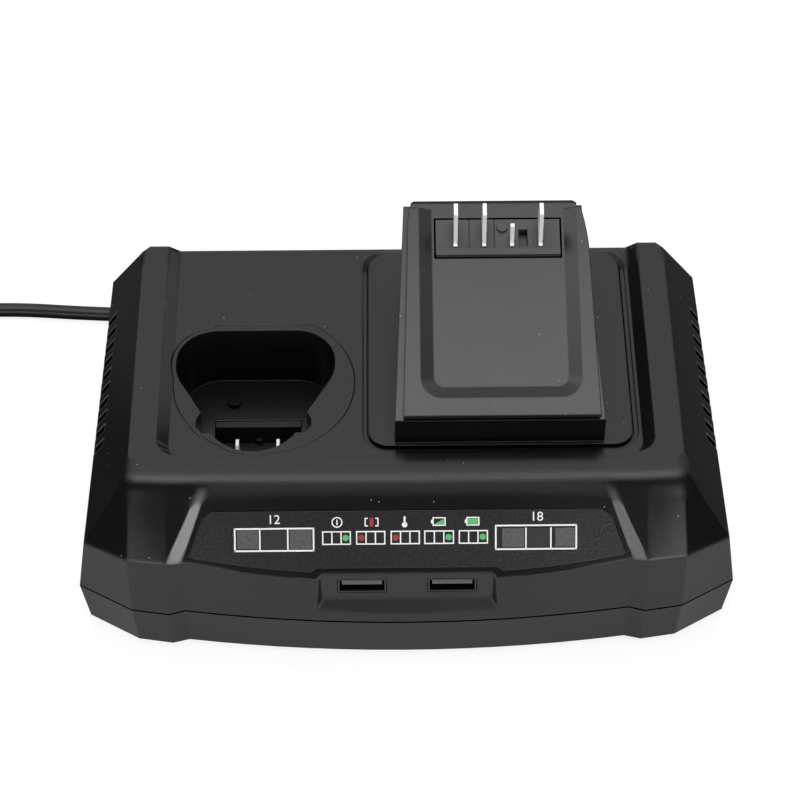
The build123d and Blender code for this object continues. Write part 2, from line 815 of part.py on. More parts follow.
with BuildPart() as casing_screws:
    pan_head_screws(facing_down(casing_screw_seat), from_below(casing_screw_points),
                    casing_screw_length, casing_screw_radius, casing_screw_head,
                    casing_screw_head_height)
casing_screws.part.label = "casing_screws"
export_step(casing_screws.part, "parts/casing_screws.step")

# ---------------------------------------------------------------- dock

def draw_dock_block(inset=0.0):
    """The dock block in its sloping plane: narrower towards the back."""
    with BuildLine() as edge:
        Polyline((shoulder_front_shift - shoulder_front_half, 0),
                 (shoulder_front_shift + shoulder_front_half, 0),
                 (shoulder_back_shift + shoulder_back_half, shoulder_length),
                 (shoulder_back_shift - shoulder_back_half, shoulder_length), close=True)
    make_face(edge.edges())
    if inset:
        offset(amount=-inset, kind=Kind.INTERSECTION, mode=Mode.REPLACE)


def draw_dock_tongue():
    """The narrower end of the block, from inside the shoulders to the back edge."""
    with BuildLine() as edge:
        Polyline((tongue_shift - tongue_front_half, shoulder_length - dock_wall),
                 (tongue_shift + tongue_front_half, shoulder_length - dock_wall),
                 (tongue_shift + tongue_front_half, shoulder_length),
                 (tongue_shift + tongue_back_half, block_length),
                 (tongue_shift - tongue_back_half, block_length),
                 (tongue_shift - tongue_front_half, shoulder_length), close=True)
    make_face(edge.edges())


def draw_dock_plate(inset=0.0):
    """The rail plate on the block: nearly parallel, then led in towards the back."""
    back_right = plate_back_shift + plate_back_half
    back_left = plate_back_shift - plate_back_half
    curve_y = (plate_mid_length + arm_length) / 2
    with BuildLine() as edge:
        Polyline((-plate_mid_half, plate_mid_length), (-plate_front_half, 0),
                 (plate_front_half, 0), (plate_mid_half, plate_mid_length))
        ThreePointArc((plate_mid_half, plate_mid_length),
                      ((plate_mid_half + back_right) / 2 + 0.25, curve_y), (back_right, arm_length))
        Line((back_right, arm_length), (back_left, arm_length))
        ThreePointArc((back_left, arm_length),
                      ((back_left - plate_mid_half) / 2 - 0.25, curve_y),
                      (-plate_mid_half, plate_mid_length))
    make_face(edge.edges())
    if inset:
        offset(amount=-inset, kind=Kind.ARC, mode=Mode.REPLACE)


down = (0, 0, -1)
block_drop = 2 * ridge_height

with BuildPart() as dock_housing:
    with BuildSketch(dock_plane.offset(-plate_thickness - neck_height)):
        draw_dock_block()
    extrude(amount=block_drop, dir=down)
    with BuildSketch(dock_plane.offset(-plate_recess)):
        draw_dock_tongue()
    extrude(amount=block_drop, dir=down)
    split(bisect_by=Plane.XY.offset(dock_panel_bottom), keep=Keep.TOP)
    with BuildSketch(Plane.XY.offset(dock_panel_bottom)):
        draw_dock_panel()
    extrude(amount=dock_panel_top - dock_panel_bottom)

    # Neck and rail plate
    with BuildSketch(dock_plane.offset(-plate_thickness - neck_height)):
        draw_dock_plate(neck_undercut)
    extrude(amount=neck_height)
    with BuildSketch(dock_plane.offset(-plate_thickness)):
        draw_dock_plate()
    extrude(amount=plate_thickness)
    with BuildSketch(dock_plane.offset(-plate_recess)):
        with Locations((tongue_shift, plate_mid_length)):
            Rectangle(2 * tongue_front_half, shoulder_length - plate_mid_length,
                      align=(Align.CENTER, Align.MIN))
    extrude(amount=plate_recess - plate_thickness - neck_height)

    # Hollow inside, open below
    with BuildSketch(dock_plane.offset(dock_ceiling)):
        draw_dock_block(dock_wall)
    extrude(amount=block_drop, dir=down, mode=Mode.SUBTRACT)

    # Hand recess with bevelled sides, open at the back
    for height in (-plate_recess, plate_recess):
        with BuildSketch(dock_plane.offset(height)):
            grow = recess_slope * height
            with Locations((0, recess_start - grow)):
                RectangleRounded(2 * (recess_half + grow), 2 * block_length,
                                 max(recess_corner + 0.8 * grow, 1.0),
                                 align=(Align.CENTER, Align.MIN))
    loft(ruled=True, mode=Mode.SUBTRACT)

    # Bevel along the back edge
    bevel_origin = dock_plane.from_local_coords(Vector(0, rear_bevel_start, -plate_recess))
    bevel_tilt = radians(rear_bevel_angle - dock_angle)
    split(bisect_by=Plane(origin=bevel_origin, x_dir=(1, 0, 0),
                          z_dir=(0, sin(bevel_tilt), cos(bevel_tilt))), keep=Keep.BOTTOM)

    # Opening for the terminal carrier
    with BuildSketch(dock_plane.offset(dock_ceiling)):
        with Locations((0, carrier_middle)):
            Rectangle(2 * (carrier_half + fit), carrier_length + 2 * fit)
    extrude(amount=-dock_ceiling, mode=Mode.SUBTRACT)
    rods(dock_plane.offset(dock_ceiling), carrier_screw_points, small_screw_radius + screw_gap,
         small_screw_length / 2 + screw_gap, mode=Mode.SUBTRACT)

    # Screw posts
    for x, y in dock_post_points:
        rise = (y - dock_panel_front) * tan(radians(dock_angle))
        top = dock_front_height + rise - dock_post_headroom
        rods(Plane.XY.offset(dock_panel_bottom), [(x, y)], dock_post_radius, top - dock_panel_bottom)
    rods(Plane.XY.offset(dock_panel_bottom), dock_post_points, small_screw_radius + screw_gap,
         small_screw_length, mode=Mode.SUBTRACT)
dock_housing.part.label = "dock_housing"
export_step(dock_housing.part, "parts/dock_housing.step")

with BuildPart() as dock_screws:
    pan_head_screws(facing_down(ledge_bottom), from_below(dock_post_points),
                    small_screw_length + dock_ledge - 1.0, small_screw_radius, small_screw_head,
                    small_screw_head_height)
dock_screws.part.label = "dock_screws"
export_step(dock_screws.part, "parts/dock_screws.step")

# ---------------------------------------------------------------- dock terminals

def draw_blade(length, height, top_length):
    """Side view of a terminal blade: flat top, sloping nose with a low root, tail below."""
    foot = -plate_recess
    nose = blade_front + blade_root_length
    back = blade_front + length
    with BuildLine() as edge:
        Polyline((blade_front, foot - blade_tail), (blade_front, foot + blade_root),
                 (nose, foot + blade_root), (nose, foot + blade_nose),
                 (back - top_length, foot + height), (back, foot + height),
                 (back, foot - blade_tail), close=True)
    make_face(edge.edges())


long_blade_length = blade_back - blade_front
dock_blades = [(x, long_blade_length, blade_height, blade_top_length) for x in long_blade_offsets]
dock_blades.append((short_blade_offset, short_blade_length, short_blade_height,
                    short_blade_top_length))

with BuildPart() as terminal_carrier:
    with BuildSketch(dock_plane.offset(-plate_recess)):
        with Locations((0, carrier_middle)):
            Rectangle(2 * carrier_half, carrier_length)
    extrude(amount=dock_ceiling + plate_recess)
    with BuildSketch(dock_plane.offset(dock_ceiling)):
        with Locations((0, carrier_middle)):
            Rectangle(2 * (carrier_half + carrier_ear), carrier_length + 2 * carrier_flange)
    extrude(amount=-carrier_flange_thickness)
    with BuildSketch(dock_plane.offset(-plate_recess)):
        with Locations((0, carrier_start + carrier_lip_start)):
            Rectangle(2 * carrier_half, carrier_lip_length, align=(Align.CENTER, Align.MIN))
    extrude(amount=carrier_lip)
    boss_y = carrier_start + carrier_length - 1.8 * carrier_boss_radius
    rods(dock_plane.offset(-plate_recess), [(carrier_boss_x, boss_y)], carrier_boss_radius,
         carrier_lip)
    groove_start = carrier_start + carrier_lip_start + carrier_lip_length
    with BuildSketch(dock_plane.offset(-plate_recess)):
        for x in carrier_groove_offsets:
            with Locations((x, groove_start)):
                Rectangle(carrier_groove_width, carrier_start + carrier_length - groove_start,
                          align=(Align.CENTER, Align.MIN))
    extrude(amount=-carrier_groove_width, mode=Mode.SUBTRACT)
    with BuildSketch(dock_plane.offset(-plate_recess)):
        with Locations((carrier_slot_x, carrier_middle)):
            Rectangle(carrier_slot_width, carrier_slot_length)
    extrude(amount=-carrier_slot_depth, mode=Mode.SUBTRACT)
    for x, length, height, top_length in dock_blades:
        with BuildSketch(dock_plane.offset(dock_ceiling - carrier_flange_thickness)):
            with Locations((x, blade_front + length / 2)):
                Rectangle(blade_thickness + fit, length + fit)
        extrude(amount=-dock_ceiling + carrier_flange_thickness, mode=Mode.SUBTRACT)
    rods(dock_plane.offset(dock_ceiling), carrier_screw_points, small_screw_radius + screw_gap,
         -carrier_flange_thickness, mode=Mode.SUBTRACT)
terminal_carrier.part.label = "terminal_carrier"
export_step(terminal_carrier.part, "parts/terminal_carrier.step")

with BuildPart() as carrier_screws:
    seat = dock_plane.offset(dock_ceiling - carrier_flange_thickness)
    seat_below = Plane(origin=seat.origin, x_dir=(1, 0, 0), z_dir=-seat.z_dir)
    pan_head_screws(seat_below, from_below(carrier_screw_points),
                    small_screw_length / 2 + carrier_flange_thickness, small_screw_radius,
                    small_screw_head, small_screw_head_height)
carrier_screws.part.label = "carrier_screws"
export_step(carrier_screws.part, "parts/carrier_screws.step")

with BuildPart() as dock_power_blades:
    for x, length, height, top_length in dock_blades[:-1]:
        with BuildSketch(dock_side_plane(x - blade_thickness / 2)):
            draw_blade(length, height, top_length)
        extrude(amount=blade_thickness)
dock_power_blades.part.label = "dock_power_blades"
export_step(dock_power_blades.part, "parts/dock_power_blades.step")

with BuildPart() as dock_sense_blade:
    x, length, height, top_length = dock_blades[-1]
    with BuildSketch(dock_side_plane(x - blade_thickness / 2)):
        draw_blade(length, height, top_length)
    extrude(amount=blade_thickness)
dock_sense_blade.part.label = "dock_sense_blade"
export_step(dock_sense_blade.part, "parts/dock_sense_blade.step")

# ---------------------------------------------------------------- well for the small pack

with BuildPart() as pack_well:
    with BuildSketch(Plane.XY.offset(well_shelf_height - well_wall)):
        draw_well(well_wall)
    extrude(amount=deck_height - well_flange_thickness - well_shelf_height + well_wall)
    with BuildSketch(Plane.XY.offset(well_floor_height - well_wall)):
        draw_well_deep(well_wall)
    extrude(amount=well_shelf_height - well_floor_height)
    with BuildSketch(Plane.XY.offset(deck_height)):
        draw_well_flange()
    extrude(amount=-well_flange_thickness)
    with BuildSketch(Plane.XY.offset(well_shelf_height)):
        draw_well()
    extrude(amount=deck_height - well_shelf_height, mode=Mode.SUBTRACT)
    with BuildSketch(Plane.XY.offset(well_floor_height)):
        draw_well_deep()
    extrude(amount=well_shelf_height - well_floor_height, mode=Mode.SUBTRACT)
    for side in (-1, 1):
        x = well_x + side * contact_pitch / 2
        block(x - contact_thickness / 2 - fit, x + contact_thickness / 2 + fit,
              contact_y - contact_length / 2 - fit, contact_y + contact_length / 2 + fit,
              well_floor_height - well_wall, well_floor_height, mode=Mode.SUBTRACT)
    rods(Plane.XY.offset(well_shelf_height), [(well_screw_x, well_screw_y)],
         small_screw_radius + screw_gap, -well_wall, mode=Mode.SUBTRACT)
pack_well.part.label = "pack_well"
export_step(pack_well.part, "parts/pack_well.step")

with BuildPart() as well_screw:
    pan_head_screws(Plane.XY.offset(well_shelf_height), [(well_screw_x, well_screw_y)],
                    small_screw_length, small_screw_radius, small_screw_head,
                    small_screw_head_height)
well_screw.part.label = "well_screw"
export_step(well_screw.part, "parts/well_screw.step")

with BuildPart() as well_contact_block:
    with BuildSketch(Plane.XY.offset(well_floor_height)):
        draw_well_deep(-fit)
    extrude(amount=contact_base)
    back = well_step_y - fit
    block(well_x - well_deep_half + fit, well_x + well_deep_half - fit, back - contact_back, back,
          well_floor_height, well_shelf_height - fit)
    block(well_x - contact_rib, well_x + contact_rib, back - contact_back - contact_rib,
          back - contact_back, well_floor_height, well_floor_height + 2 * contact_base)
    for side in (-1, 1):
        x = well_x + side * contact_pitch / 2
        block(x - contact_thickness / 2 - fit, x + contact_thickness / 2 + fit,
              contact_y - contact_length / 2 - fit, contact_y + contact_length / 2 + fit,
              well_floor_height, well_floor_height + contact_base, mode=Mode.SUBTRACT)
well_contact_block.part.label = "well_contact_block"
export_step(well_contact_block.part, "parts/well_contact_block.step")

with BuildPart() as well_contacts:
    for side in (-1, 1):
        x = well_x + side * contact_pitch / 2
        with BuildSketch(Plane.YZ.offset(x - contact_thickness / 2)):
            with BuildLine():
                Polyline((contact_y - contact_length / 2, board_top),
                         (contact_y - contact_length / 2, contact_top - contact_corner),
                         (contact_y - contact_length / 2 + contact_corner, contact_top),
                         (contact_y + contact_length / 2 - contact_corner, contact_top),
                         (contact_y + contact_length / 2, contact_top - contact_corner),
                         (contact_y + contact_length / 2, board_top), close=True)
            make_face()
        extrude(amount=contact_thickness)
well_contacts.part.label = "well_contacts"
export_step(well_contacts.part, "parts/well_contacts.step")

# ---------------------------------------------------------------- charging sockets

with BuildPart() as socket_shells:
    for x in socket_centres:
        back_y = socket_face_y + socket_shell_length + fit
        block(x - socket_shell_width / 2, x + socket_shell_width / 2, back_y - socket_shell_length, back_y,
              socket_board_top, socket_board_top + socket_shell_height)
        block(x - socket_shell_width / 2 + socket_shell_wall,
              x + socket_shell_width / 2 - socket_shell_wall, back_y - socket_shell_length, back_y,
              socket_board_top + socket_shell_wall,
              socket_board_top + socket_shell_height - socket_shell_wall, mode=Mode.SUBTRACT)
socket_shells.part.label = "socket_shells"
export_step(socket_shells.part, "parts/socket_shells.step")

tongue_half = socket_tongue_width / 2
tongue_top = socket_board_top + socket_shell_height - socket_shell_wall - socket_tongue_drop
tongue_bottom = tongue_top - socket_tongue_thickness
tongue_front = socket_face_y + fit + socket_tongue_setback
socket_back = socket_face_y + fit + socket_shell_length
with BuildPart() as socket_tongues:
    for x in socket_centres:
        block(x - tongue_half, x + tongue_half, tongue_front, socket_back, tongue_bottom, tongue_top)
        block(x - socket_shell_width / 2 + socket_shell_wall,
              x + socket_shell_width / 2 - socket_shell_wall,
              socket_back - socket_block_length, socket_back, socket_board_top + socket_shell_wall,
              socket_board_top + socket_shell_height - socket_shell_wall)
socket_tongues.part.label = "socket_tongues"
export_step(socket_tongues.part, "parts/socket_tongues.step")

with BuildPart() as socket_contacts:
    for x in socket_centres:
        for index in range(4):
            middle = x + (index - 1.5) * socket_contact_pitch
            block(middle - socket_contact_width / 2, middle + socket_contact_width / 2,
                  tongue_front + 1.0, socket_back - socket_block_length,
                  tongue_bottom - socket_contact_thickness, tongue_bottom)
socket_contacts.part.label = "socket_contacts"
export_step(socket_contacts.part, "parts/socket_contacts.step")

with BuildPart() as socket_board:
    block(-socket_board_half_width, socket_board_half_width, socket_board_front, socket_board_back,
          socket_board_top - board_thickness, socket_board_top)
    rods(Plane.XY.offset(socket_board_top), socket_post_points, small_screw_radius + screw_gap,
         -board_thickness, mode=Mode.SUBTRACT)
socket_board.part.label = "socket_board"
export_step(socket_board.part, "parts/socket_board.step")

with BuildPart() as socket_screws:
    pan_head_screws(Plane.XY.offset(socket_board_top), socket_post_points, small_screw_length,
                    small_screw_radius, small_screw_head, small_screw_head_height)
socket_screws.part.label = "socket_screws"
export_step(socket_screws.part, "parts/socket_screws.step")

# ---------------------------------------------------------------- label and indicator

with BuildPart() as panel_label:
    with BuildSketch(panel_plane):
        with BuildLine() as edge:
            Polyline((-label_bottom_half, -label_bottom), (-label_side_half, -label_side_end),
                     (-label_shoulder_half, -label_shoulder), (-label_top_half, -label_top),
                     (label_top_half, -label_top), (label_shoulder_half, -label_shoulder),
                     (label_side_half, -label_side_end), (label_bottom_half, -label_bottom))
            for side in (1, -1):
                ThreePointArc((side * label_bottom_half, -label_bottom),
                              (side * (label_bottom_half + label_notch_outer_half) / 2,
                               -(label_bottom + label_notch_outer) / 2 - 0.5),
                              (side * label_notch_outer_half, -label_notch_outer))
                Line((side * label_notch_outer_half, -label_notch_outer),
                     (side * label_notch_half, -label_notch))
            Line((-label_notch_half, -label_notch), (label_notch_half, -label_notch))
        make_face(edge.edges())
        for side in (-1, 1):
            for x, width in window_spans(side):
                with Locations((x, -(window_top + window_height / 2))):
                    Rectangle(width + 2 * fit, window_height + 2 * fit, mode=Mode.SUBTRACT)
    extrude(amount=label_thickness)
panel_label.part.label = "panel_label"
export_step(panel_label.part, "parts/panel_label.step")

window_middle = -(window_top + window_height / 2)
with BuildPart() as light_windows:
    for side in (-1, 1):
        for x, width in window_spans(side):
            with BuildSketch(panel_plane.offset(label_thickness)):
                with Locations((x, window_middle)):
                    Rectangle(width, window_height)
            extrude(amount=-(label_thickness + wall + window_tail))
light_windows.part.label = "light_windows"
export_step(light_windows.part, "parts/light_windows.step")

with BuildPart() as indicator_board:
    with BuildSketch(panel_plane.offset(-indicator_depth)):
        with Locations((0, -(indicator_top + indicator_length / 2))):
            Rectangle(2 * indicator_half_width, indicator_length)
    extrude(amount=-indicator_thickness)
    rods(panel_plane.offset(-indicator_depth), indicator_post_points,
         small_screw_radius + screw_gap, -indicator_thickness, mode=Mode.SUBTRACT)
indicator_board.part.label = "indicator_board"
export_step(indicator_board.part, "parts/indicator_board.step")

with BuildPart() as indicator_leds:
    for side in (-1, 1):
        for x, width in window_spans(side):
            with BuildSketch(panel_plane.offset(-indicator_depth)):
                with Locations((x, window_middle)):
                    Rectangle(led_width, led_depth)
            extrude(amount=led_height)
indicator_leds.part.label = "indicator_leds"
export_step(indicator_leds.part, "parts/indicator_leds.step")

with BuildPart() as indicator_screws:
    back = panel_plane.offset(-indicator_depth - indicator_thickness)
    back_outward = Plane(origin=back.origin, x_dir=(1, 0, 0), z_dir=-back.z_dir)
    pan_head_screws(back_outward, from_below(indicator_post_points),
                    small_screw_length - 0.4, small_screw_radius, small_screw_head,
                    small_screw_head_height)
indicator_screws.part.label = "indicator_screws"
export_step(indicator_screws.part, "parts/indicator_screws.step")

# ---------------------------------------------------------------- main board

with BuildPart() as main_board:
    block(-board_half_width, board_half_width, board_front, board_back, board_height, board_top)
    rods(Plane.XY.offset(board_height), board_screw_points, small_screw_radius + screw_gap,
         board_thickness, mode=Mode.SUBTRACT)
    rods(Plane.XY.offset(board_height), [(well_screw_x, well_screw_y)],
         well_post_radius + 3 * screw_gap, board_thickness, mode=Mode.SUBTRACT)
main_board.part.label = "main_board"
export_step(main_board.part, "parts/main_board.step")

with BuildPart() as board_screws:
    pan_head_screws(Plane.XY.offset(board_top), board_screw_points, small_screw_length,
                    small_screw_radius, small_screw_head, small_screw_head_height)
board_screws.part.label = "board_screws"
export_step(board_screws.part, "parts/board_screws.step")

# Transformer: a core round the two long sides and the top of a wound bobbin
core_limb = 6.0
with BuildPart() as transformer_core:
    chip(transformer_x, transformer_y, transformer_width, transformer_depth / 2,
         transformer_height)
    block(transformer_x - transformer_width / 2 + core_limb,
          transformer_x + transformer_width / 2 - core_limb,
          transformer_y - transformer_depth / 2, transformer_y + transformer_depth / 2,
          board_top, board_top + transformer_height - core_limb, mode=Mode.SUBTRACT)
transformer_core.part.label = "transformer_core"
export_step(transformer_core.part, "parts/transformer_core.step")

with BuildPart() as transformer_winding:
    chip(transformer_x, transformer_y, transformer_width - 2 * core_limb, transformer_depth,
         transformer_height - core_limb)
    wound = transformer_winding.edges().filter_by(Axis.Z)
    fillet(wound, radius=2.0)
transformer_winding.part.label = "transformer_winding"
export_step(transformer_winding.part, "parts/transformer_winding.step")

with BuildPart() as heatsinks:
    for x in (input_heatsink_x, output_heatsink_x):
        chip(x, transformer_y, heatsink_thickness, heatsink_depth, heatsink_height)
heatsinks.part.label = "heatsinks"
export_step(heatsinks.part, "parts/heatsinks.step")

with BuildPart() as power_semiconductors:
    for x in (input_heatsink_x, output_heatsink_x):
        body_x = x + heatsink_thickness / 2 + power_body_thickness / 2
        if x == output_heatsink_x:
            body_x = x - heatsink_thickness / 2 - power_body_thickness / 2
        block(body_x - power_body_thickness / 2, body_x + power_body_thickness / 2,
              transformer_y - power_body_width / 2, transformer_y + power_body_width / 2,
              board_top + power_lead_length, board_top + power_lead_length + power_body_height)
        for step in (-1, 0, 1):
            y = transformer_y + step * power_lead_pitch
            block(body_x - power_lead_thickness / 2, body_x + power_lead_thickness / 2,
                  y - power_lead_width / 2, y + power_lead_width / 2,
                  board_top, board_top + power_lead_length)
power_semiconductors.part.label = "power_semiconductors"
export_step(power_semiconductors.part, "parts/power_semiconductors.step")

with BuildPart() as bulk_capacitor_can:
    can(*bulk_capacitor)
    fillet(bulk_capacitor_can.edges().group_by(Axis.Z)[-1], radius=1.0)
bulk_capacitor_can.part.label = "bulk_capacitor"
export_step(bulk_capacitor_can.part, "parts/bulk_capacitor.step")

with BuildPart() as output_capacitor_cans:
    for x, y in output_capacitors:
        can(x, y, output_capacitor_radius, output_capacitor_height)
    fillet(output_capacitor_cans.edges().group_by(Axis.Z)[-1], radius=0.6)
output_capacitor_cans.part.label = "output_capacitors"
export_step(output_capacitor_cans.part, "parts/output_capacitors.step")

with BuildPart() as filter_choke:
    with BuildSketch(Plane.XZ.offset(-choke_y)):
        with Locations((choke_x, board_top + choke_radius)):
            Circle(choke_radius)
            Circle(choke_hole, mode=Mode.SUBTRACT)
    extrude(amount=choke_width / 2, both=True)
filter_choke.part.label = "filter_choke"
export_step(filter_choke.part, "parts/filter_choke.step")

with BuildPart() as fuse:
    with BuildSketch(Plane.YZ.offset(cord_exit_x)):
        with Locations((fuse_y, board_top + fuse_radius)):
            Circle(fuse_radius)
    extrude(amount=fuse_length)
fuse.part.label = "fuse"
export_step(fuse.part, "parts/fuse.step")

with BuildPart() as bridge_rectifier:
    chip(rectifier_x, rectifier_y, rectifier_width, rectifier_depth, rectifier_height)
bridge_rectifier.part.label = "bridge_rectifier"
export_step(bridge_rectifier.part, "parts/bridge_rectifier.step")

with BuildPart() as control_chips:
    for x, y, width, depth in control_chip_places:
        chip(x, y, width, depth, control_chip_height)
control_chips.part.label = "control_chips"
export_step(control_chips.part, "parts/control_chips.step")

# ---------------------------------------------------------------- wires inside

with BuildPart() as dock_wires:
    for index, (x, length, height, top_length) in enumerate(sorted(dock_blades)):
        along = blade_front + length / 2
        tail_end = -plate_recess - blade_tail
        start = dock_plane.from_local_coords(Vector(x, along, tail_end))
        below = dock_plane.from_local_coords(Vector(x, along, tail_end - wire_drop / 2))
        landing_x = wire_landing_x + index * wire_landing_pitch
        tube([tuple(start), tuple(below), (landing_x, wire_landing_y, board_top + wire_drop),
              (landing_x, wire_landing_y, board_top)], wire_diameter)
dock_wires.part.label = "dock_wires"
export_step(dock_wires.part, "parts/dock_wires.step")

with BuildPart() as mains_leads:
    for side in (-1, 1):
        x = cord_exit_x + side * mains_lead_spacing
        tube([(x, casing_depth_back - relief_inside, cord_exit_z),
              (x, mains_lead_bend_y, cord_exit_z),
              (x + side * mains_lead_fan / 3, mains_lead_over_y, board_top + mains_lead_rise),
              (x + side * mains_lead_fan, mains_lead_pad_y, board_top + 1.1 * mains_lead_rise),
              (x + side * mains_lead_fan, mains_lead_pad_y, board_top)], wire_diameter)
mains_leads.part.label = "mains_leads"
export_step(mains_leads.part, "parts/mains_leads.step")

with BuildPart() as socket_wires:
    wire_top = socket_board_top - board_thickness
    for index in range(4):
        x = (index - 1.5) * socket_wire_pitch
        tube([(x, socket_wire_y, wire_top), (x, socket_wire_y, (wire_top + board_top) / 2),
              (x, wire_landing_y, (wire_top + 2 * board_top) / 3), (x, wire_landing_y, board_top)],
             socket_wire_diameter)
socket_wires.part.label = "socket_wires"
export_step(socket_wires.part, "parts/socket_wires.step")

# ---------------------------------------------------------------- mains lead

with BuildPart() as strain_relief:
    inner_y = casing_depth_back - relief_inside
    with BuildSketch(Plane.YZ.offset(cord_exit_x)):
        with BuildLine():
            Polyline((inner_y, cord_exit_z), (inner_y, cord_exit_z + relief_flange_radius),
                     (relief_groove_start, cord_exit_z + relief_flange_radius),
                     (relief_groove_start, cord_exit_z + relief_groove_radius),
                     (relief_groove_end, cord_exit_z + relief_groove_radius),
                     (relief_groove_end, cord_exit_z + relief_flange_radius),
                     (relief_groove_end + relief_flange_thickness, cord_exit_z + relief_flange_radius),
                     (relief_groove_end + relief_flange_thickness, cord_exit_z + relief_root_radius),
                     (cord_start_y, cord_exit_z + relief_tip_radius), (cord_start_y, cord_exit_z),
                     close=True)
        make_face()
    revolve(axis=Axis((cord_exit_x, 0, cord_exit_z), (0, 1, 0)))
strain_relief.part.label = "strain_relief"
export_step(strain_relief.part, "parts/strain_relief.step")

coil_outer_column = coil_middle_radius + (coil_columns - 1) / 2 * cord_diameter
cord_rest = cord_diameter / 2
coil_top_row = coil_layers * cord_diameter - cord_rest

# Bends of the lead from the outlet's axis and the back wall, and of its end from the coil's middle
cord_bends = (
    (0.0, 29.6, cord_exit_z), (-6.6, 41.4, 6.6), (-18.1, 47.8, 3.8), (-31.0, 47.2, 2.5),
    (-42.0, 39.8, cord_rest), (-55.0, 32.3, cord_rest), (-71.0, 26.4, cord_rest),
    (-88.5, 20.9, cord_rest), (-107.0, 16.7, cord_rest), (-126.5, 14.1, cord_rest),
    (-146.5, 15.2, cord_rest), (-167.0, 17.1, cord_rest),
)
tail_bends = (
    (-coil_outer_column, -coil_lead, coil_top_row), (-coil_outer_column, -28.4, coil_top_row),
    (-30.6, -41.2, 5.2), (-23.5, -51.5, 5.0), (-12.0, -56.8, plug_half_height),
    (-2.5, -56.8, plug_half_height),
)
cord_route = [(cord_exit_x, cord_start_y, cord_exit_z)]
cord_route += [(cord_exit_x + x, casing_depth_back + y, z) for x, y, z in cord_bends]
cord_route += [(coil_x + reach * coil_lead, coil_y + coil_outer_column, cord_rest)
               for reach in (2, 1)]
tail_route = [(coil_x + x, coil_y + y, z) for x, y, z in tail_bends]

with BuildPart() as cord_tube:
    cord_length = tube(cord_route, cord_diameter)
cord_tube.part.label = "cord_tube"
export_step(cord_tube.part, "parts/cord_tube.step")

with BuildPart() as cord_tail:
    tail_length = tube(tail_route, cord_diameter)
cord_tail.part.label = "cord_tail"
export_step(cord_tail.part, "parts/cord_tail.step")

with BuildPart() as cord_coil:
    with BuildSketch(Plane(origin=(coil_x, coil_y, 0), x_dir=(1, 0, 0), z_dir=(0, -1, 0))):
        with Locations((coil_middle_radius, coil_layers * cord_rest)):
            RectangleRounded(coil_columns * cord_diameter, coil_layers * cord_diameter,
                             cord_rest - screw_gap)
    revolve(axis=Axis((coil_x, coil_y, 0), (0, 0, 1)))
    rods(Plane(origin=(coil_x, coil_y + coil_outer_column, cord_rest), z_dir=(1, 0, 0)),
         [(0, 0)], cord_rest, coil_lead)
    rods(Plane(origin=(coil_x - coil_outer_column, coil_y, coil_top_row), z_dir=(0, -1, 0)),
         [(0, 0)], cord_rest, coil_lead)
cord_coil.part.label = "cord_coil"
export_step(cord_coil.part, "parts/cord_coil.step")

plug_x, plug_y, plug_z = tail_route[-1]
plug_body_x = plug_x + plug_relief_length
with BuildPart() as plug:
    block(plug_body_x, plug_body_x + plug_length, plug_y - plug_half_width, plug_y + plug_half_width,
          0, 2 * plug_half_height)
    fillet(plug.edges().filter_by(Axis.X), radius=4.0)
    fillet(plug.faces().sort_by(Axis.X)[0].edges(), radius=2.0)
    fillet(plug.faces().sort_by(Axis.X)[-1].edges(), radius=1.0)
    with BuildSketch(Plane.YZ.offset(plug_x)):
        with Locations((plug_y, plug_z)):
            Circle(plug_relief_tip_radius)
    with BuildSketch(Plane.YZ.offset(plug_body_x + 1.0)):
        with Locations((plug_y, plug_z)):
            Circle(plug_relief_root_radius)
    loft()
plug.part.label = "plug"
export_step(plug.part, "parts/plug.step")

with BuildPart() as plug_blades:
    for side in (-1, 1):
        y = plug_y + side * plug_blade_pitch / 2
        block(plug_body_x + plug_length, plug_body_x + plug_length + plug_blade_length,
              y - plug_blade_thickness / 2, y + plug_blade_thickness / 2,
              plug_z - plug_blade_width / 2, plug_z + plug_blade_width / 2)
    chamfer(plug_blades.faces().sort_by(Axis.X)[-2:].edges().filter_by(Axis.Z), length=0.4)
plug_blades.part.label = "plug_blades"
export_step(plug_blades.part, "parts/plug_blades.step")

cord_section = pi * cord_rest ** 2
print("cord radii", [round(radius, 1) for radius in bend_radii(cord_route)])
print("tail radii", [round(radius, 1) for radius in bend_radii(tail_route)])
print("volume over section times length",
      round(cord_tube.part.volume / (cord_section * cord_length), 4),
      round(cord_tail.part.volume / (cord_section * tail_length), 4))
print("lengths", round(cord_length, 1), round(tail_length, 1))
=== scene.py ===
# %% [markdown]
# # A charger for power tool batteries
# The charger has a sloping dock for a large sliding pack, a well for a small pack, two
# charging sockets and a row of lights in front, and a mains lead behind. Its rigid pieces
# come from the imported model, so this lesson is about what they are made of, how they are
# lit, and the pieces that a solid modeller leaves plain: the lead, its strain relief, its
# plug and the printing on the front panel.

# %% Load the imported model
from math import cos, pi, radians, sin

import bpy
import numpy as np
from mathutils import Matrix, Vector


